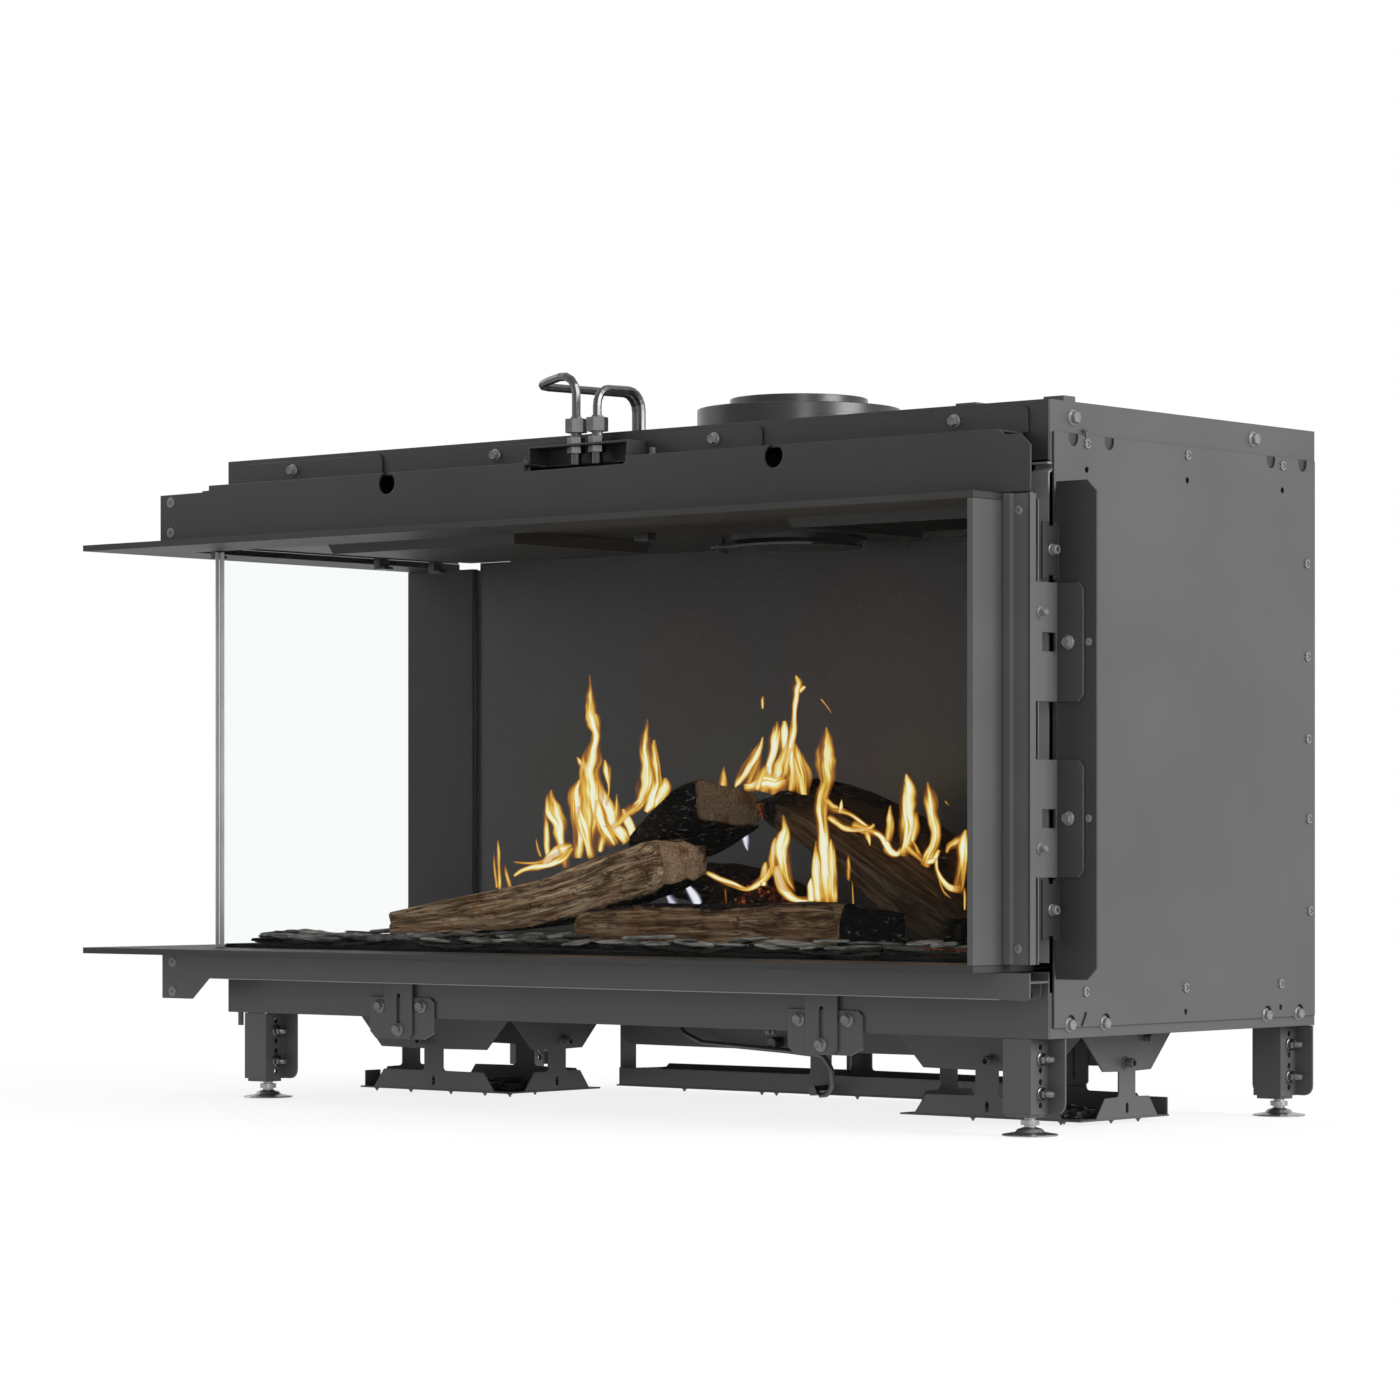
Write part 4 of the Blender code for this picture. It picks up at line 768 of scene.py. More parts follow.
def log(name, nodes, stations, mat, char=None, ember=None, na=84, corner=2, rough=1.0, seed=0.0, per=11):
    """Split log: corner outlines (casing millimetres) at a few stations, lofted, rounded and weathered.
    Its end faces are rounded over and slightly hollow."""
    kcount = len(stations[0])
    tracks = [[Vector(s[i]) for s in stations] for i in range(kcount)]
    bm = bmesh.new()
    uvl = bm.loops.layers.uv.new("grain")
    rows = []
    length = (sum((Vector(p) for p in stations[-1]), Vector()) / kcount - sum((Vector(p) for p in stations[0]), Vector()) / kcount).length

    def outline(t):
        poly = [catmull(tr, t) for tr in tracks]
        pts = []
        for i in range(kcount):
            a, b2 = poly[i], poly[(i + 1) % kcount]
            for j in range(per):
                pts.append(a.lerp(b2, j / per))
        for _ in range(corner):
            pts = [(pts[i - 1] + pts[i] * 2 + pts[(i + 1) % len(pts)]) / 4 for i in range(len(pts))]
        return pts

    ts = [0.0, 0.004, 0.012] + [0.012 + 0.976 * i / na for i in range(1, na)] + [0.988, 0.996, 1.0]
    for t in ts:
        pts = outline(t)
        c = sum(pts, Vector()) / len(pts)
        edge = 1.0
        if t < 0.012:
            edge = 0.93 + 0.07 * math.sqrt(t / 0.012)
        if t > 0.988:
            edge = 0.93 + 0.07 * math.sqrt((1 - t) / 0.012)
        row = []
        for i, p in enumerate(pts):
            d = (p - c)
            r = d.length
            dn = d.normalized()
            q = Vector((t * length / 60.0, 0, 0)) + dn * 1.3 + Vector((seed, seed, seed))
            lump = noise.noise(q * 0.9) * 3.2 + noise.noise(q * 2.3) * 1.3
            rib = noise.noise(Vector((t * length / 38.0, i * 0.55 + seed, seed))) * 1.1
            split = noise.noise(Vector((t * length / 55.0, i * 0.21, seed + 7.0)))
            groove = -2.4 * smoothstep(0.28, 0.5, split) * rough
            disp = (lump + rib + groove) * rough * 0.8
            row.append((c + d * edge + dn * disp))
        rows.append(row)
    n = len(rows[0])
    dist = [0.0]
    for i in range(n):
        dist.append(dist[-1] + (rows[len(rows) // 2][(i + 1) % n] - rows[len(rows) // 2][i]).length)
    verts = [[bm.verts.new(M(*p)) for p in row] for row in rows]
    for a, (ra, rb) in enumerate(zip(verts, verts[1:])):
        for i in range(n):
            j = (i + 1) % n
            f = bm.faces.new((ra[i], ra[j], rb[j], rb[i]))
            for lp, (tt, dd) in zip(f.loops, ((ts[a], dist[i]), (ts[a], dist[i + 1]), (ts[a + 1], dist[i + 1]), (ts[a + 1], dist[i]))):
                lp[uvl].uv = (tt * length / 1000.0, dd / 1000.0)
    capv = set()
    for row, vrow, sign in ((rows[0], verts[0], -1), (rows[-1], verts[-1], 1)):
        c = sum(row, Vector()) / n
        axis = (sum(rows[-1], Vector()) / n - sum(rows[-4], Vector()) / n) if sign > 0 else (sum(rows[0], Vector()) / n - sum(rows[3], Vector()) / n)
        axis.normalize()
        prev = vrow
        capv.update(vrow)
        for s in (0.93, 0.8, 0.64, 0.47, 0.3, 0.14):
            ring = []
            for p in row:
                q = c + (p - c) * s
                w = noise.noise(q / 14.0 + Vector((seed, 0, 0))) * 2.0 + noise.noise(q / 6.0) * 0.7
                ring.append(bm.verts.new(M(*(q + axis * (1.3 * (1 - s * s) * 0.5 + w * (1 - s ** 6) * rough - 0.4)))))
            capv.update(ring)
            for i in range(n):
                j = (i + 1) % n
                f = bm.faces.new((prev[i], prev[j], ring[j], ring[i]))
                for lp in f.loops:
                    lp[uvl].uv = ((lp.vert.co.z), (lp.vert.co.x + lp.vert.co.y))
            prev = ring
        mid = bm.verts.new(M(*(c + axis * 0.4)))
        capv.add(mid)
        for i in range(n):
            f = bm.faces.new((prev[i], prev[(i + 1) % n], mid))
            for lp in f.loops:
                lp[uvl].uv = ((lp.vert.co.z), (lp.vert.co.x + lp.vert.co.y))
    bmesh.ops.recalc_face_normals(bm, faces=bm.faces)
    bm.verts.index_update()
    caps = {v.index for v in capv}
    me = bpy.data.meshes.new(name)
    bm.to_mesh(me)
    bm.free()
    me.shade_smooth()
    la = me.attributes.new("cap", "FLOAT", "POINT")
    lc = me.attributes.new("char", "FLOAT", "POINT")
    le = me.attributes.new("ember", "FLOAT", "POINT")
    for v in me.vertices:
        p = Vector((v.co.x * 1000 - 547.35, v.co.y * 1000 + 174.0, v.co.z * 1000 - 85.0))
        la.data[v.index].value = 1.0 if v.index in caps else 0.0
        lc.data[v.index].value = char(p, v.normal) if char else 0.0
        le.data[v.index].value = ember(p, v.normal) if ember else 0.0
    ob = piece(name, me, mat, "fireplace")
    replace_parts(ob, *nodes)
    return ob


def quad(y0, y1, fb, ft, rt, rb):
    """Section from pixels on the front plane y0 and rear plane y1: front bottom, front top, rear top, rear bottom."""
    return [tuple(at(*fb, y0)), tuple(at(*ft, y0)), tuple(at(*rt, y1)), tuple(at(*rb, y1))]


def cross(x, y0, y1, z0, z1, z2=None, z3=None):
    """Upright section at x: front y0 with heights z0..z1, rear y1 with heights z3..z2."""
    return [(x, y0, z0), (x, y0, z1), (x, y1, z1 if z2 is None else z2), (x, y1, z0 if z3 is None else z3)]


log("long_left_log", ["log_long_left"], [
    cross(-864, 70, 118, 77, 101, 97, 78),
    cross(-800, 74, 128, 78, 112, 110, 80),
    cross(-720, 80, 138, 82, 127, 126, 86),
    cross(-650, 86, 146, 92, 142, 144, 96),
    cross(-590, 91, 150, 107, 160, 160, 110),
    [(-548, 95, 118), (-552, 95, 171), (-545, 150, 172), (-541, 150, 124)],
    [(-521, 97, 129), (-530, 94, 173), (-516, 152, 170), (-514, 152, 139)]],
    WOOD_A,
    char=lambda p, n: 0.75 * smoothstep(-0.35, -0.8, n.z) + 0.35 * smoothstep(150, 175, p.z) * smoothstep(0.5, 0.9, n.z) + 0.3 * smoothstep(120, 150, p.y),
    seed=1.7)

log("front_log", ["log_front"], [
    [(-606, 62, 76), (-608, 62, 97), (-600, 122, 100), (-600, 124, 78)],
    [(-585, 59, 73), (-586, 60, 108), (-580, 128, 108), (-580, 128, 74)],
    cross(-520, 58, 130, 72, 112, 111, 72),
    cross(-440, 57, 130, 72, 113, 112, 72),
    cross(-360, 57, 130, 72, 114, 113, 72),
    [(-296, 57, 72), (-290, 58, 115), (-282, 130, 110), (-288, 131, 72)],
    [(-281, 58, 73), (-274, 60, 116), (-257, 130, 105), (-258, 131, 76)]],
    WOOD_B,
    char=lambda p, n: 0.62 * smoothstep(0.25, 0.8, n.z) * (0.75 + 0.5 * noise.noise(p / 30)) + 0.35 * smoothstep(-0.3, -0.8, n.z)
    + 0.35 * smoothstep(104, 113, p.z) * smoothstep(-560, -430, p.x) * smoothstep(-330, -430, p.x)
    + 0.9 * smoothstep(0.45, 0.75, n.x) + 0.3 * smoothstep(-400, -430, p.x) * smoothstep(100, 112, p.z) * (0.5 + noise.noise(p / 12)),
    seed=4.2)

log("top_chunk_log", ["log_top_chunk"], [
    [(-617, 150, 166), (-612, 150, 178), (-622, 215, 184), (-628, 215, 170)],
    [(-588, 143, 170), (-580, 141, 200), (-590, 222, 208), (-592, 208, 168)],
    [(-550, 139, 180), (-548, 138, 222), (-552, 226, 224), (-553, 200, 154)],
    [(-519, 141, 192), (-521, 140, 233), (-509, 222, 217), (-511, 224, 184)]],
    WOOD_C,
    char=lambda p, n: 1.1 * smoothstep(-0.25, -0.6, n.y) * smoothstep(0.75, 0.5, n.x) * smoothstep(236, 222, p.z)
    + 1.0 * smoothstep(-0.35, -0.7, n.z) + 0.9 * smoothstep(192, 184, p.z) * smoothstep(-525, -516, p.x) * 0.7,
    na=60, corner=2, seed=8.8, per=12)

log("leaning_log", ["log_leaning_right"], [
    [(-470, 172, 196), (-474, 174, 208), (-466, 206, 220), (-462, 204, 206)],
    [(-448, 160, 186), (-450, 160, 212), (-440, 206, 222), (-438, 206, 196)],
    [(-400, 148, 168), (-402, 146, 198), (-394, 196, 208), (-392, 196, 176)],
    [(-340, 136, 138), (-344, 136, 173), (-332, 190, 182), (-330, 190, 148)],
    [(-285, 131, 104), (-290, 132, 143), (-276, 184, 153), (-274, 184, 116)],
    [(-236, 130, 78), (-240, 130, 118), (-226, 178, 124), (-226, 178, 84)],
    [(-214, 128, 76), (-210, 128, 100), (-198, 172, 104), (-206, 172, 76)]],
    WOOD_D,
    char=lambda p, n: 0.8 * smoothstep(-415, -450, p.x) + 0.45 * smoothstep(0.45, 0.9, n.z) * smoothstep(-330, -420, p.x)
    + 0.6 * smoothstep(-0.3, -0.75, n.z) + 0.6 * smoothstep(0.6, 0.9, n.x) * smoothstep(-240, -215, p.x),
    ember=lambda p, n: 0.95 * smoothstep(-440, -462, p.x) * smoothstep(0.55, 0.1, n.z) + 0.62 * smoothstep(-452, -438, p.x) * smoothstep(-418, -432, p.x) * smoothstep(198, 190, p.z)
    + 0.55 * smoothstep(-405, -385, p.x) * smoothstep(-350, -370, p.x) * smoothstep(0.0, 0.6, n.z),
    seed=12.5)

log("rear_right_log", ["log_rear_right"], [
    [(-482, 246, 214), (-484, 246, 228), (-480, 276, 234), (-478, 276, 218)],
    [(-440, 238, 198), (-442, 238, 222), (-436, 284, 226), (-434, 284, 200)],
    [(-370, 233, 166), (-372, 233, 198), (-366, 286, 202), (-364, 286, 170)],
    [(-300, 230, 134), (-302, 230, 166), (-296, 284, 170), (-294, 284, 138)],
    [(-235, 229, 100), (-238, 229, 134), (-232, 280, 138), (-230, 280, 104)],
    [(-180, 228, 76), (-182, 228, 106), (-176, 276, 108), (-174, 276, 78)]],
    WOOD_DIM,
    char=lambda p, n: 0.42 + 0.3 * smoothstep(-0.3, -0.8, n.z) + 0.5 * smoothstep(-440, -465, p.x),
    ember=lambda p, n: 0.35 * smoothstep(-0.2, -0.6, n.y) * smoothstep(-250, -400, p.x),
    seed=21.0)

log("rear_middle_log", ["log_rear_middle"], [
    [(-652, 244, 116), (-652, 244, 140), (-650, 284, 142), (-650, 284, 118)],
    [(-600, 236, 108), (-601, 236, 149), (-598, 282, 150), (-598, 282, 110)],
    [(-555, 232, 98), (-556, 231, 144), (-552, 278, 146), (-552, 278, 100)],
    [(-505, 228, 86), (-506, 228, 130), (-502, 274, 132), (-502, 274, 90)],
    [(-460, 224, 80), (-462, 224, 114), (-458, 268, 116), (-456, 268, 82)],
    [(-418, 222, 77), (-418, 222, 98), (-414, 262, 100), (-414, 262, 78)]],
    WOOD_DIM,
    char=lambda p, n: 0.5 + 0.35 * smoothstep(0.2, -0.4, n.z) - 0.4 * smoothstep(0.4, 0.9, n.z) * smoothstep(-560, -590, p.x),
    ember=lambda p, n: 0.62 * smoothstep(0.1, -0.5, n.y) * smoothstep(-600, -570, p.x) * smoothstep(145, 130, p.z),
    seed=27.0)


# ------------------------------------------------------------------ slate chips
def slate_material():
    """Riven slate: blue-grey plates with paler broken edges, dark where the tone attribute is low (painted shade on the
    lower chips); a few glow beside the burner.
    """
    t = Tree("slate_chip")
    b = t.bsdf((0.1, 0.1, 0.1), 0.75, 0.0, 0.12)
    v = t.coords()
    layers = t.noise(t.coords(scale=(40, 40, 900)), 1.0, 4.0, 0.6, 0.4)
    cloud = t.noise(v, 60.0, 4.0)
    fine = t.noise(v, 420.0, 4.0)
    base = t.ramp(t.math("ADD", t.attr("tone"), t.range(cloud, 0.3, 0.7, -0.25, 0.25)),
                  [(0.05, (0.004, 0.004, 0.0035)), (0.36, (0.018, 0.0175, 0.0165)), (0.58, (0.105, 0.104, 0.098)), (0.90, (0.34, 0.34, 0.32))])
    base = t.mix(t.range(layers, 0.42, 0.60, 0.75, 0.0), base, (0.006, 0.0055, 0.005))
    base = t.mix(t.range(fine, 0.6, 0.75, 0.0, 0.3), base, (0.13, 0.12, 0.105))
    t.link(base, b.inputs["Base Color"])
    t.link(t.range(fine, 0.3, 0.7, 0.6, 0.9), b.inputs["Roughness"])
    glow = t.math("MULTIPLY", t.attr("ember"), t.range(fine, 0.5, 0.7, 0.0, 1.0))
    t.link(t.ramp(glow, [(0.0, (0, 0, 0)), (0.5, (0.5, 0.09, 0.02)), (1.0, (1.0, 0.35, 0.1))]), b.inputs["Emission Color"])
    t.link(t.math("MULTIPLY", glow, 0.7), b.inputs["Emission Strength"])
    n = t.bump(layers, 0.5, 0.0012)
    t.link(t.bump(fine, 0.4, 0.0008, n), b.inputs["Normal"])
    t.mat.cycles.emission_sampling = "NONE"
    return t.mat


SLATE = slate_material()
dress(SLATE, "slate_bed")


def slates():
    rng = random.Random(20)
    bm = bmesh.new()
    tones_and_shade, embers = [], []
    placed = []

    def chip(x, y, z, ln, wd, th, yaw, tilt_a, tilt_b, tone, ember):
        n = rng.choice((9, 10, 11, 12))
        rot = Matrix.Rotation(yaw, 4, "Z") @ Matrix.Rotation(tilt_a, 4, "X") @ Matrix.Rotation(tilt_b, 4, "Y")
        jag = []
        for i in range(n):
            q = 2 * math.pi * (i + rng.uniform(-0.32, 0.32)) / n
            rr = rng.uniform(0.62, 1.08)
            taper = 1.0 - 0.55 * abs(math.cos(q)) ** 3
            jag.append((math.cos(q) * rr * ln / 2 * 1.04, math.sin(q) * rr * wd / 2 * (0.75 + 0.25 * taper)))
        rings = []
        for h, s in ((0.0, 0.86), (0.22, 0.99), (0.45, 0.97), (0.52, 1.0), (0.8, 0.96), (1.0, 0.84)):
            ring = []
            for a, b2 in jag:
                w = 1.0 + rng.uniform(-0.05, 0.05)
                ring.append(bm.verts.new(M(*(Vector((x, y, z)) + rot @ Vector((a * s * w, b2 * s * w, (h - 0.5) * th + rng.uniform(-0.06, 0.06) * th))))))
            rings.append(ring)
        for r0, r1 in zip(rings, rings[1:]):
            for i in range(n):
                bm.faces.new((r0[i], r0[(i + 1) % n], r1[(i + 1) % n], r1[i]))
        for ring, h in ((rings[0], 0.0), (rings[-1], 1.0)):
            c = bm.verts.new(M(*(Vector((x, y, z)) + rot @ Vector((0, 0, (h - 0.5) * th * 1.08)))))
            for i in range(n):
                bm.faces.new((ring[i], ring[(i + 1) % n], c))
        count = n * 6 + 2
        tones_and_shade.extend([tone] * count)
        embers.extend([ember] * count)

    def heat(x, y):
        return 1.0 if x > -150 and y < 60 and rng.random() < 0.55 else 0.0

    # two layers over the whole bed, then a close row along each glass; the lower layer and lowest rows get dark tones
    # and the upper chips pale ones: painted shade below and painted light on top, over each chip's own random tone
    for layer, (zc, count) in enumerate(((70.6, 330), (74.2, 260))):
        tries = 0
        while count > 0 and tries < 6000:
            tries += 1
            x, y = rng.uniform(-1012, -62), rng.uniform(34, 366)
            if -857 < x < -193 and 163 < y < 243:
                continue
            ln, wd = rng.uniform(26, 62), rng.uniform(15, 30)
            reach = (26 if layer == 0 else 20)
            if any((x - a) ** 2 + (y - b) ** 2 < reach ** 2 and l == layer for a, b, l in placed):
                continue
            if layer == 1 and 55 < y < 135 and -870 < x < -250:
                continue
            placed.append((x, y, layer))
            m = min(1040 + x, -28 - x, y - 11, 388 - y)
            ln = min(ln, 1.7 * m)
            chip(x, y, zc + rng.uniform(-0.6, 1.0), ln, min(wd, ln), rng.uniform(2.6, 4.2), rng.uniform(-0.5, 0.5) if y < 60 else rng.uniform(0, 3.1),
                 rng.uniform(-0.05, 0.05), rng.uniform(-0.05, 0.05), rng.uniform(0.02, 0.3) if layer == 0 else rng.uniform(0.25, 0.9), heat(x, y))
            count -= 1
    for row, (yc, zc) in enumerate(((20.0, 70.2), (24.0, 73.2), (22.0, 76.2), (27.0, 78.6), (38.0, 80.2))):
        x = -1012.0
        while x < -52:
            ln = rng.uniform(30, 78)
            if row < 2 or rng.random() < (0.72, 0.50, 0.38)[row - 2]:
                chip(x + ln / 2, yc + rng.uniform(-4, 6), zc + rng.uniform(-1.2, 1.2), ln, rng.uniform(13, 24), rng.uniform(1.8, 3.4),
                     rng.uniform(-0.30, 0.30), rng.uniform(-0.12, 0.30), rng.uniform(-0.10, 0.10), rng.uniform(0.02, 0.30) if row < 2 else rng.uniform(0.40, 1.05), heat(x, yc))
            x += ln * rng.uniform(0.55, 1.0)
    for row, (xc, zc) in enumerate(((-1020.0, 70.2), (-1016.0, 73.4), (-1019.0, 76.6), (-1012.0, 79.0))):
        y = 48.0
        while y < 360:
            ln = rng.uniform(28, 64)
            if row < 2 or rng.random() < 0.55:
                chip(xc + rng.uniform(-2, 3), y + ln / 2, zc + rng.uniform(-1.0, 1.0), ln, rng.uniform(12, 18), rng.uniform(1.8, 3.2),
                     math.pi / 2 + rng.uniform(-0.25, 0.25), rng.uniform(-0.12, 0.12), rng.uniform(-0.10, 0.10), rng.uniform(0.02, 0.3) if row < 2 else rng.uniform(0.4, 1.0), 0.0)
            y += ln * rng.uniform(0.6, 1.0)
    bmesh.ops.recalc_face_normals(bm, faces=bm.faces)
    me = bpy.data.meshes.new("slate_chips")
    bm.to_mesh(me)
    bm.free()
    ta = me.attributes.new("tone", "FLOAT", "POINT")
    ea = me.attributes.new("ember", "FLOAT", "POINT")
    for i in range(len(me.vertices)):
        ta.data[i].value = tones_and_shade[i]
        ea.data[i].value = embers[i]
    return piece("slate_chips", me, SLATE, "fireplace")


slates()


# ------------------------------------------------------------------ flames
def flame_material(name, pale=False):
    """Burning gas: pale core, orange edge, upright streaks; the sheet thins out to nothing at its rim."""
    t = Tree(name)
    across = t.math("ABSOLUTE", t.attr("across"))
    body = t.math("SUBTRACT", 1.0, t.math("POWER", across, 1.15), clamp=True)
    uv = t.add("ShaderNodeUVMap", uv_map="flow")

    def flow(su, sv, detail, dist):
        mp = t.add("ShaderNodeMapping")
        mp.inputs["Scale"].default_value = (su, sv, 1)
        t.link(uv.outputs[0], mp.inputs["Vector"])
        return t.noise(mp.outputs[0], 1.0, detail, 0.5, dist)

    streak = flow(260, 15, 2.0, 0.2)
    lick = flow(90, 13, 2.0, 0.3)
    heat = t.math("MULTIPLY", t.math("MULTIPLY", body, t.attr("thin")), t.range(streak, 0.39, 0.57, 0.42, 1.20))
    heat = t.math("MULTIPLY", heat, t.range(lick, 0.38, 0.54, 0.45, 1.15), clamp=True)
    if pale:
        col = t.ramp(heat, [(0.0, (0.10, 0.10, 0.20)), (0.3, (0.42, 0.42, 0.58)), (0.7, (0.82, 0.82, 0.84))])
    else:
        col = t.ramp(heat, [(0.0, (0.32, 0.070, 0.006)), (0.17, (0.54, 0.18, 0.020)), (0.33, (0.69, 0.36, 0.045)),
                            (0.49, (0.75, 0.53, 0.115)), (0.66, (0.80, 0.73, 0.34)), (0.90, (0.85, 0.85, 0.68))])
    em = t.add("ShaderNodeEmission")
    t.link(col, em.inputs[0])
    em.inputs[1].default_value = 1.04
    tr = t.add("ShaderNodeBsdfTransparent")
    mx = t.add("ShaderNodeMixShader")
    geo = t.add("ShaderNodeNewGeometry")
    alpha = t.math("MULTIPLY", t.range(heat, 0.0, 0.42, 0.0, 0.97), t.math("SUBTRACT", 1.0, geo.outputs["Backfacing"]))
    t.link(alpha, mx.inputs[0])
    t.link(tr.outputs[0], mx.inputs[1])
    t.link(em.outputs[0], mx.inputs[2])
    t.link(mx.outputs[0], t.out.inputs["Surface"])
    t.mat.cycles.emission_sampling = "NONE"
    return t.mat


FLAME = flame_material("gas_flame")
FLAME_PALE = flame_material("gas_flame_base", True)


def flames(name, tongues, mat):
    """Each tongue: plane y, then (pixel x, pixel y, half width in pixels) from its root to its tip."""
    bm = bmesh.new()
    flow = bm.loops.layers.uv.new("flow")
    acr, thin = [], []
    n = 16
    for count, tongue in enumerate(tongues):
        y, pts = tongue[0], tongue[1:]
        spine = []
        for px, py, w in pts:
            p = at(px, py, y)
            depth = (p - EYE).dot(AHEAD)
            spine.append(Vector((p.x, p.y, p.z, w * depth / FOCAL)))
        steps = 7 * (len(spine) - 1)
        weak = 0.38 + 0.62 * smoothstep(1.0, 4.2, max(w for _, _, w in pts))    # slim wisps burn darker
        samples = [catmull(spine, i / steps) for i in range(steps + 1)]
        rows = []
        for i, s in enumerate(samples):
            a, b = samples[max(i - 1, 0)], samples[min(i + 1, steps)]
            d = Vector((b.x - a.x, b.y - a.y, b.z - a.z)).normalized()
            side = AHEAD.cross(d)
            side = side.normalized() if side.length > 1e-4 else RIGHT
            t = i / steps
            swirl = Vector((i * 0.17 + 3.1 * count, 1.7 * count, 0.5))
            w = max(s.w * (1.25 + 0.30 * noise.noise(swirl)), 0.25)
            s = s.copy()
            shift = side * (0.22 * s.w * noise.noise(swirl + Vector((9.0, 4.0, 2.0))))
            s.x, s.y, s.z = s.x + shift.x, s.y + shift.y, s.z + shift.z
            fade = smoothstep(0.0, 0.12, t) * 0.55 + 0.45
            fade *= weak * (1.0 - 0.62 * smoothstep(0.62, 1.0, t))
            row = []
            for j in range(n):
                q = 2 * math.pi * j / n
                c = Vector((s.x, s.y, s.z)) + side * (w * math.cos(q)) + AHEAD * (min(w * 0.5, 4.5) * math.sin(q))
                row.append(bm.verts.new(M(*c)))
                acr.append(math.cos(q))
                thin.append(fade)
            rows.append(row)
        run = [0.0]
        for a, b in zip(samples, samples[1:]):
            run.append(run[-1] + (b.xyz - a.xyz).length / 1000.0)
        for i, (r0, r1) in enumerate(zip(rows, rows[1:])):
            for j in range(n):
                f = bm.faces.new((r0[j], r0[(j + 1) % n], r1[(j + 1) % n], r1[j]))
                for lp, (k2, m2) in zip(f.loops, ((j, i), (j + 1, i), (j + 1, i + 1), (j, i + 1))):
                    wid = samples[m2].w / 1000.0
                    lp[flow].uv = (math.cos(2 * math.pi * k2 / n) * wid + 0.31 * count, run[m2] + 0.17 * count)
        for row, s in ((rows[0], samples[0]), (rows[-1], samples[-1])):
            c = bm.verts.new(M(s.x, s.y, s.z))
            acr.append(0.0)
            thin.append(0.45)
            for j in range(n):
                bm.faces.new((row[j], row[(j + 1) % n], c))
    bmesh.ops.recalc_face_normals(bm, faces=bm.faces)
    me = bpy.data.meshes.new(name)
    bm.to_mesh(me)
    bm.free()
    me.shade_smooth()
    a1 = me.attributes.new("across", "FLOAT", "POINT")
    a2 = me.attributes.new("thin", "FLOAT", "POINT")
    for i in range(len(me.vertices)):
        a1.data[i].value = acr[i]
        a2.data[i].value = thin[i]
    return piece(name, me, mat, "fireplace")


flames("flames_left", [
    (168, (591, 856, 5), (593, 830, 8), (593, 806, 11), (591, 785, 10.5), (590.5, 766, 9.5), (593.5, 750, 7), (596, 739, 5), (595.5, 729, 5.5),
     (593.5, 720, 6.5), (591.5, 712, 5), (590.5, 703, 4), (590.5, 694, 3.3), (590.3, 688, 2.2), (589.7, 675, 0.5)),
    (172, (590, 800, 5), (588, 780, 7), (585, 768, 5), (580, 761, 3), (577, 757, 0.6)),
    (162, (578, 858, 5), (579, 838, 5), (576.5, 815, 6), (576, 800, 6.5), (577, 788, 5.5), (580, 779.5, 2)),
    (160, (574, 812, 3.5), (571.5, 803, 3.5), (570.5, 795, 3.2), (573, 786, 2.6)),
    (176, (627, 842, 5), (618, 830, 6.5), (609, 815, 7), (603, 800, 6), (599, 785, 3), (598, 776, 1)),
    (158, (614, 846, 5), (606, 832, 6), (600, 816, 5), (597, 800, 3)),
    (180, (611, 838, 5), (615, 822, 5.5), (616.5, 808, 3.4), (616.8, 794, 0.6)),
    (170, (607, 806, 2), (608.5, 793, 1.2), (609, 785, 1.4), (608, 776, 2.8), (606.5, 768, 3.4), (604.8, 760, 1)),
    (160, (592, 858, 4), (586, 838, 4.5), (582, 822, 4.5), (580, 806, 3)),
    (158, (600, 852, 4), (603, 838, 4.2), (606, 826, 3)),
    (170, (612, 828, 3), (620, 820, 4), (627, 812, 5), (634, 808, 4), (641, 806, 2)),
    (176, (636, 842, 4), (632, 830, 4.5), (627, 819, 4), (623, 809, 2)),
    (178, (632, 811, 3), (639, 805, 5), (645, 794, 7), (648, 780, 7.5), (647, 764, 6.5), (645.5, 750, 5), (645.3, 737, 4), (646.5, 728, 2.6), (647.5, 719, 0.6)),
    (182, (646, 812, 3), (652, 802, 6), (656, 788, 5.5), (657, 774, 4.5), (655, 760, 4), (653.5, 748, 3.6), (654, 740, 1.4)),
    (184, (654, 808, 3), (661, 797, 6), (666, 787, 5), (664.5, 778, 2)),
    (180, (639, 798, 2), (637.5, 788, 2.4), (638, 780, 1)),
    (150, (566, 868, 4), (563, 852, 4.5), (560, 838, 4.5), (558.5, 826, 7.5), (553.5, 812, 8.5), (550.5, 800, 5), (551, 790, 1)),
    (150, (549, 864, 2), (547, 846, 3), (546, 830, 3), (545, 815, 1.5)),
    (148, (541, 857, 1.2), (537.5, 847, 1.5), (536, 838, 0.5)),
    (144, (514, 876, 1.4), (524, 870, 2.4), (538, 867, 3), (551, 864, 3.4), (563, 858, 4), (572, 848, 3)),
    (146, (513, 862, 1), (529, 863, 1.6), (546, 860, 2.2), (560, 852, 2)),
    (150, (543, 866, 3), (552, 856, 5), (562, 850, 6), (572, 846, 4)),
    (126, (511, 891, 2.2), (507.5, 878, 2.2), (505, 865, 1)),
    (124, (500, 889, 2.4), (499, 868, 2.2), (498.3, 852, 1.7), (498, 840, 0.5)),
    (124, (497, 888, 1.4), (495, 870, 1.6), (494, 852, 0.5)),
], FLAME)

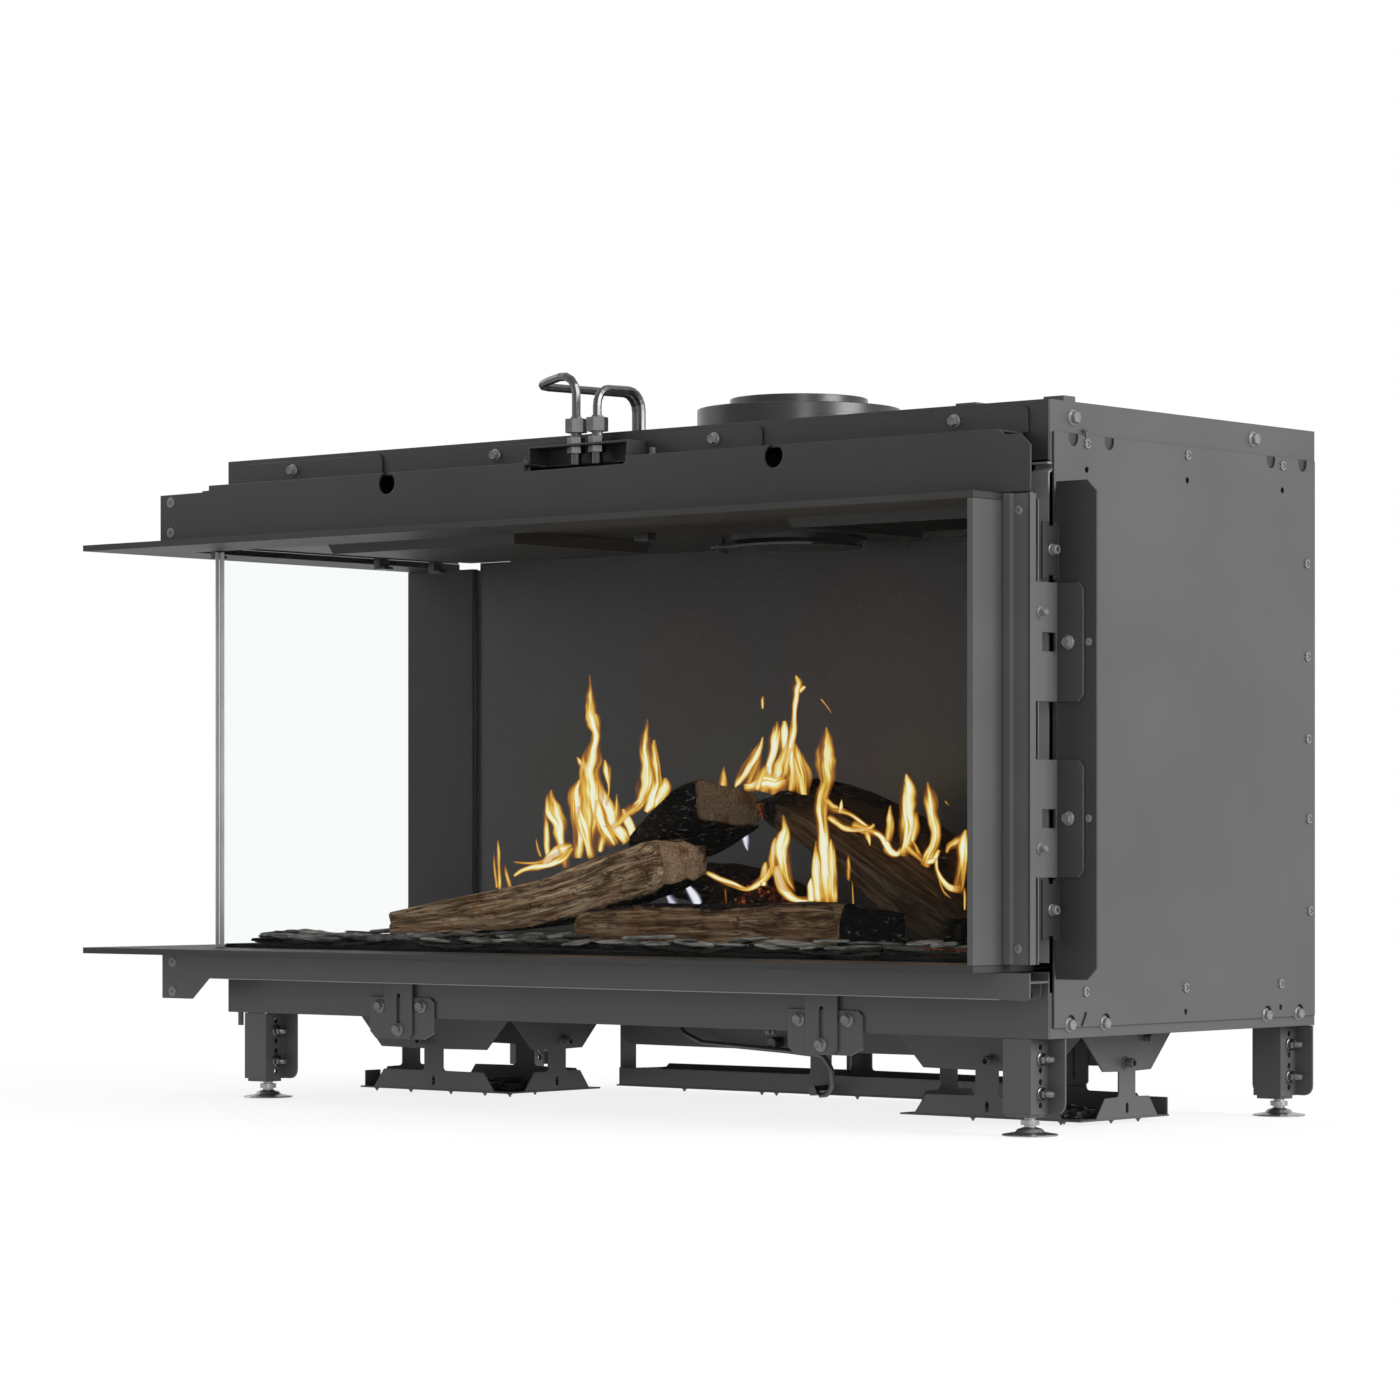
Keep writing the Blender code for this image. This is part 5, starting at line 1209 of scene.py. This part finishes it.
flames("flames_middle", [
    (196, (776, 796, 7), (780, 781, 10), (785, 766, 9.5), (789, 752, 6.5), (792, 738, 3.8), (794, 720, 2.8), (795, 705, 3), (797, 692, 4.4), (799, 683, 4.4), (796, 675.5, 1)),
    (197, (799, 692, 2), (803, 688, 2.2), (806, 686.5, 0.8)),
    (200, (735, 787, 1.2), (740.5, 778, 4), (747, 767, 4.8), (754, 757, 4.8), (759.5, 747, 3.6), (762.8, 737, 0.6)),
    (204, (746, 790, 3), (752, 777, 4), (757, 764, 3.4), (761, 752, 2)),
    (198, (764, 792, 5), (768, 775, 5), (771, 758, 4), (774, 742, 4.8), (776.5, 730, 4.2), (777.3, 721.5, 1)),
    (206, (783, 765, 4), (784.5, 748, 4.8), (784.5, 733, 4.6), (784, 721, 2.4)),
    (194, (804, 808, 1.6), (803.5, 792, 5.5), (802, 776, 8), (799.5, 762, 6.8), (797, 752, 3.6), (796, 744, 1)),
    (192, (792, 792, 5), (793, 776, 6), (793, 760, 4), (792, 748, 2)),
    (190, (744, 788, 4), (753, 786, 5.5), (763, 781, 7), (774, 783, 8), (785, 780, 6)),
    (188, (757, 790, 5), (762, 776, 6), (766, 766, 3)),
    (226, (722.5, 787, 5), (723, 776, 3), (724, 766, 0.6)),
    (134, (829, 902, 8), (827, 870, 7.5), (824.5, 845, 6), (822, 822, 5.5), (821, 806, 5.5), (822, 795, 6), (826, 782, 6.5), (826, 770, 7.5), (825, 758, 9),
     (826, 748, 8), (826.6, 738, 4.8), (826.3, 727, 0.7)),
    (135, (833, 902, 4), (833, 882, 5), (832.5, 864, 5), (831.5, 849, 4), (830.8, 839, 1)),
    (136, (812, 901, 4.5), (811, 887, 3.4), (811, 878, 0.7)),
    (133, (820, 902, 6), (818, 884, 6), (817, 866, 4.5), (816, 852, 2.4), (816, 841, 0.7)),
    (142, (792, 894, 4), (785, 881, 7.5), (781.5, 866, 9), (780.5, 851, 8.5), (783, 838, 6.2), (785, 828, 3.4), (783.3, 815, 0.7)),
    (146, (774, 876, 4), (773, 862, 4.5), (773.5, 849, 3), (775, 838, 1.2)),
    (140, (777, 866, 4), (780, 882, 5), (787, 893, 5), (798, 899.5, 3.4), (809, 899.5, 4), (817, 895, 3)),
    (200, (706.5, 872.5, 2), (716, 877.5, 3), (727, 882, 3.2), (738, 886.5, 2.8), (748, 889, 2.4), (756, 885, 3), (763, 878, 4.4), (769, 868, 5.4), (773, 858, 3)),
    (202, (764, 886, 3), (765, 872, 4), (766, 862, 1.6)),
    (134, (848.5, 881, 1.2), (848.5, 870, 2.5), (848.5, 862, 1.8), (848.4, 855, 0.5)),
    (133, (853.5, 909, 0.9), (852.8, 896, 0.9), (852.2, 881, 0.6)),
    (134, (726.3, 904, 0.9), (725.6, 895, 0.8), (725.2, 888, 0.5)),
    (210, (762.7, 709, 1), (762.4, 702, 2.2), (763, 696, 1)),
    (210, (821, 699, 0.7), (826.5, 706, 0.9), (832, 714, 0.5)),
], FLAME)

flames("flames_right", [
    (126, (824, 798, 3), (829, 806, 4.6), (836, 810, 3.8), (845, 812, 2.6), (855, 817, 2.2), (864, 824, 2), (873, 831, 2)),
    (126, (840, 813, 2.8), (841, 806, 1.8), (841.6, 799.5, 0.5)),
    (126, (828, 817, 2.6), (838, 823, 3.2), (848, 828, 3.4), (860, 829, 3), (869, 828, 3.2), (874, 824, 2.2)),
    (126, (852, 824, 4.5), (862, 828, 4.5), (872, 832, 3.6), (881, 836, 2.6)),
    (126, (866, 831, 3), (868.5, 839, 2.2), (870, 846, 0.6)),
    (126, (868, 829, 2.4), (878, 834, 3), (885, 842, 3.6), (891, 851, 3.6), (897, 853.5, 3.4), (902, 849, 3.8)),
    (126, (884, 848, 2), (890, 854, 2.4), (897, 856, 2)),
    (126, (888.5, 842, 3.6), (889.3, 829, 4.4), (890, 818, 3), (890.3, 805.5, 0.6)),
    (126, (903, 856, 4.5), (907, 840, 7.5), (909, 823, 8), (907.5, 808, 7.5), (908, 795, 7.2), (909, 786, 5.6), (907.5, 779, 3.2), (905.8, 774, 0.7)),
    (126, (912, 842, 3), (915, 828, 3.6), (916, 812, 2.4)),
    (126, (905, 845, 3.6), (913, 852, 3), (921, 859, 2.6), (929, 864.5, 2.6)),
    (126, (910, 838, 2), (916, 848, 1.8), (921, 857, 1.6)),
    (126, (924, 866, 4.5), (931, 852, 5.4), (936, 839, 5.8), (935, 826, 5.2), (931.5, 813, 5.8), (931, 800, 6.2), (929, 790, 4), (927.5, 782, 0.9)),
    (126, (926, 862, 3), (934, 860, 2.4), (939, 850, 2.6)),
    (126, (936, 858, 2), (936.6, 869, 2), (941, 879, 2.4), (948, 886, 2.8), (955, 889.5, 3.8), (961, 888, 3)),
    (126, (957, 893, 4), (960, 880, 5), (961.5, 866, 5.6), (963, 851, 6), (964.5, 839, 4.8), (965.5, 830, 1.6)),
    (126, (946.5, 853, 2), (949, 847, 3), (956, 843, 4.4), (963, 838, 4)),
    (126, (939, 880, 1), (944, 892, 1.1), (951, 898, 0.8)),
    (126, (964.6, 910, 1), (964.8, 899, 1.6), (964, 888, 2)),
    (126, (945, 801, 0.8), (949, 806, 0.6)),
], FLAME)

flames("flame_roots", [
    (176, (675, 905, 4.5), (670, 895, 3.8), (666, 885, 1.2)),
    (176, (698, 905, 5.5), (691.5, 893, 4.4), (684, 883, 1.2)),
    (226, (744.5, 834, 3.4), (746.5, 843, 2.8), (747.8, 851, 0.6)),
], FLAME_PALE)

# ------------------------------------------------------------------ stage and light
STAGE_R = 1.5


def floor_material():
    t = Tree("pale_floor")
    b = t.bsdf((0.87, 0.87, 0.87), 0.75, 0.0, 0.2)
    grain = t.noise(t.coords(), 5.0, 4.0)
    t.link(t.mix(grain, (0.86, 0.86, 0.86), (0.89, 0.89, 0.89)), b.inputs["Base Color"])
    em = t.add("ShaderNodeEmission")
    em.inputs[0].default_value = (1, 1, 1, 1)
    em.inputs[1].default_value = 1.0
    geo = t.add("ShaderNodeNewGeometry")
    ln = t.add("ShaderNodeVectorMath", operation="LENGTH")
    t.link(geo.outputs["Position"], ln.inputs[0])
    mx = t.add("ShaderNodeMixShader")
    t.link(t.range(ln.outputs["Value"], 0.45, STAGE_R, 0.84, 1.0), mx.inputs[0])
    t.link(b.outputs[0], mx.inputs[1])
    t.link(em.outputs[0], mx.inputs[2])
    t.link(mx.outputs[0], t.out.inputs["Surface"])
    t.mat.cycles.emission_sampling = "NONE"
    return t.mat


def stage():
    """Round pale floor whose rim runs out into the white surround."""
    me = bpy.data.meshes.new("studio_floor")
    bm = bmesh.new()
    n = 96
    rings = [[bm.verts.new((r * math.cos(2 * math.pi * i / n), r * math.sin(2 * math.pi * i / n), -0.0005)) for i in range(n)]
             for r in (0.6, 1.2, 2.4, 6.0, 14.0)]
    c = bm.verts.new((0, 0, -0.0005))
    for i in range(n):
        bm.faces.new((c, rings[0][i], rings[0][(i + 1) % n]))
    for a, b in zip(rings, rings[1:]):
        for i in range(n):
            bm.faces.new((a[i], b[i], b[(i + 1) % n], a[(i + 1) % n]))
    bm.to_mesh(me)
    bm.free()
    ob = bpy.data.objects.new("studio_floor", me)
    bpy.context.scene.collection.objects.link(ob)
    me.materials.append(floor_material())


stage()

world = bpy.data.worlds.new("studio")
bpy.context.scene.world = world
world.use_nodes = True
wt = world.node_tree
wt.nodes.clear()
wout = wt.nodes.new("ShaderNodeOutputWorld")
white = wt.nodes.new("ShaderNodeBackground")
white.inputs[0].default_value = (1, 1, 1, 1)
room = wt.nodes.new("ShaderNodeBackground")
coord = wt.nodes.new("ShaderNodeTexCoord")
facing = wt.nodes.new("ShaderNodeVectorMath")
facing.operation = "DOT_PRODUCT"
facing.inputs[1].default_value = (AHEAD.x, AHEAD.y, 0.25)
wt.links.new(coord.outputs["Generated"], facing.inputs[0])
fall = wt.nodes.new("ShaderNodeMapRange")
for i, v in zip((1, 2, 3, 4), (-0.35, 0.55, 0.62, 1.0)):
    fall.inputs[i].default_value = v
wt.links.new(facing.outputs["Value"], fall.inputs[0])
wt.links.new(fall.outputs[0], room.inputs[1])
room.inputs[0].default_value = (1, 1, 1, 1)
seen = wt.nodes.new("ShaderNodeLightPath")
wmix = wt.nodes.new("ShaderNodeMixShader")
wt.links.new(seen.outputs["Is Camera Ray"], wmix.inputs[0])
wt.links.new(room.outputs[0], wmix.inputs[1])
wt.links.new(white.outputs[0], wmix.inputs[2])
wt.links.new(wmix.outputs[0], wout.inputs["Surface"])


def area(name, loc, target, size, power, color=(1, 1, 1), size_y=None):
    li = bpy.data.lights.new(name, "AREA")
    li.shape = "RECTANGLE"
    li.size = size
    li.size_y = size_y or size
    li.energy = power
    li.color = color
    ob = bpy.data.objects.new(name, li)
    bpy.context.scene.collection.objects.link(ob)
    ob.location = loc
    ob.rotation_euler = (Vector(target) - Vector(loc)).to_track_quat("-Z", "Y").to_euler()
    return ob


area("key_right", (5.5, 0.8, 2.2), (0, 0, 0.3), 3.0, 385)
area("front_strip", (3.4, -3.1, 1.5), (0, 0, 0.35), 0.9, 42, size_y=2.6)
area("left_strip", (-3.6, -1.2, 2.6), (0, 0, 0.4), 0.7, 40, size_y=2.4)
for name, px, py, y, power in (("fire_left", 592, 800, 120, 0.16), ("fire_middle", 800, 790, 110, 0.14), ("fire_right", 930, 800, 190, 0.12)):
    li = bpy.data.lights.new(name, "POINT")
    li.energy = power
    li.shadow_soft_size = 0.05
    li.color = (1.0, 0.62, 0.30)
    ob = bpy.data.objects.new(name, li)
    bpy.context.scene.collection.objects.link(ob)
    ob.location = M(*at(px, py, y))

bpy.context.view_layer.update()
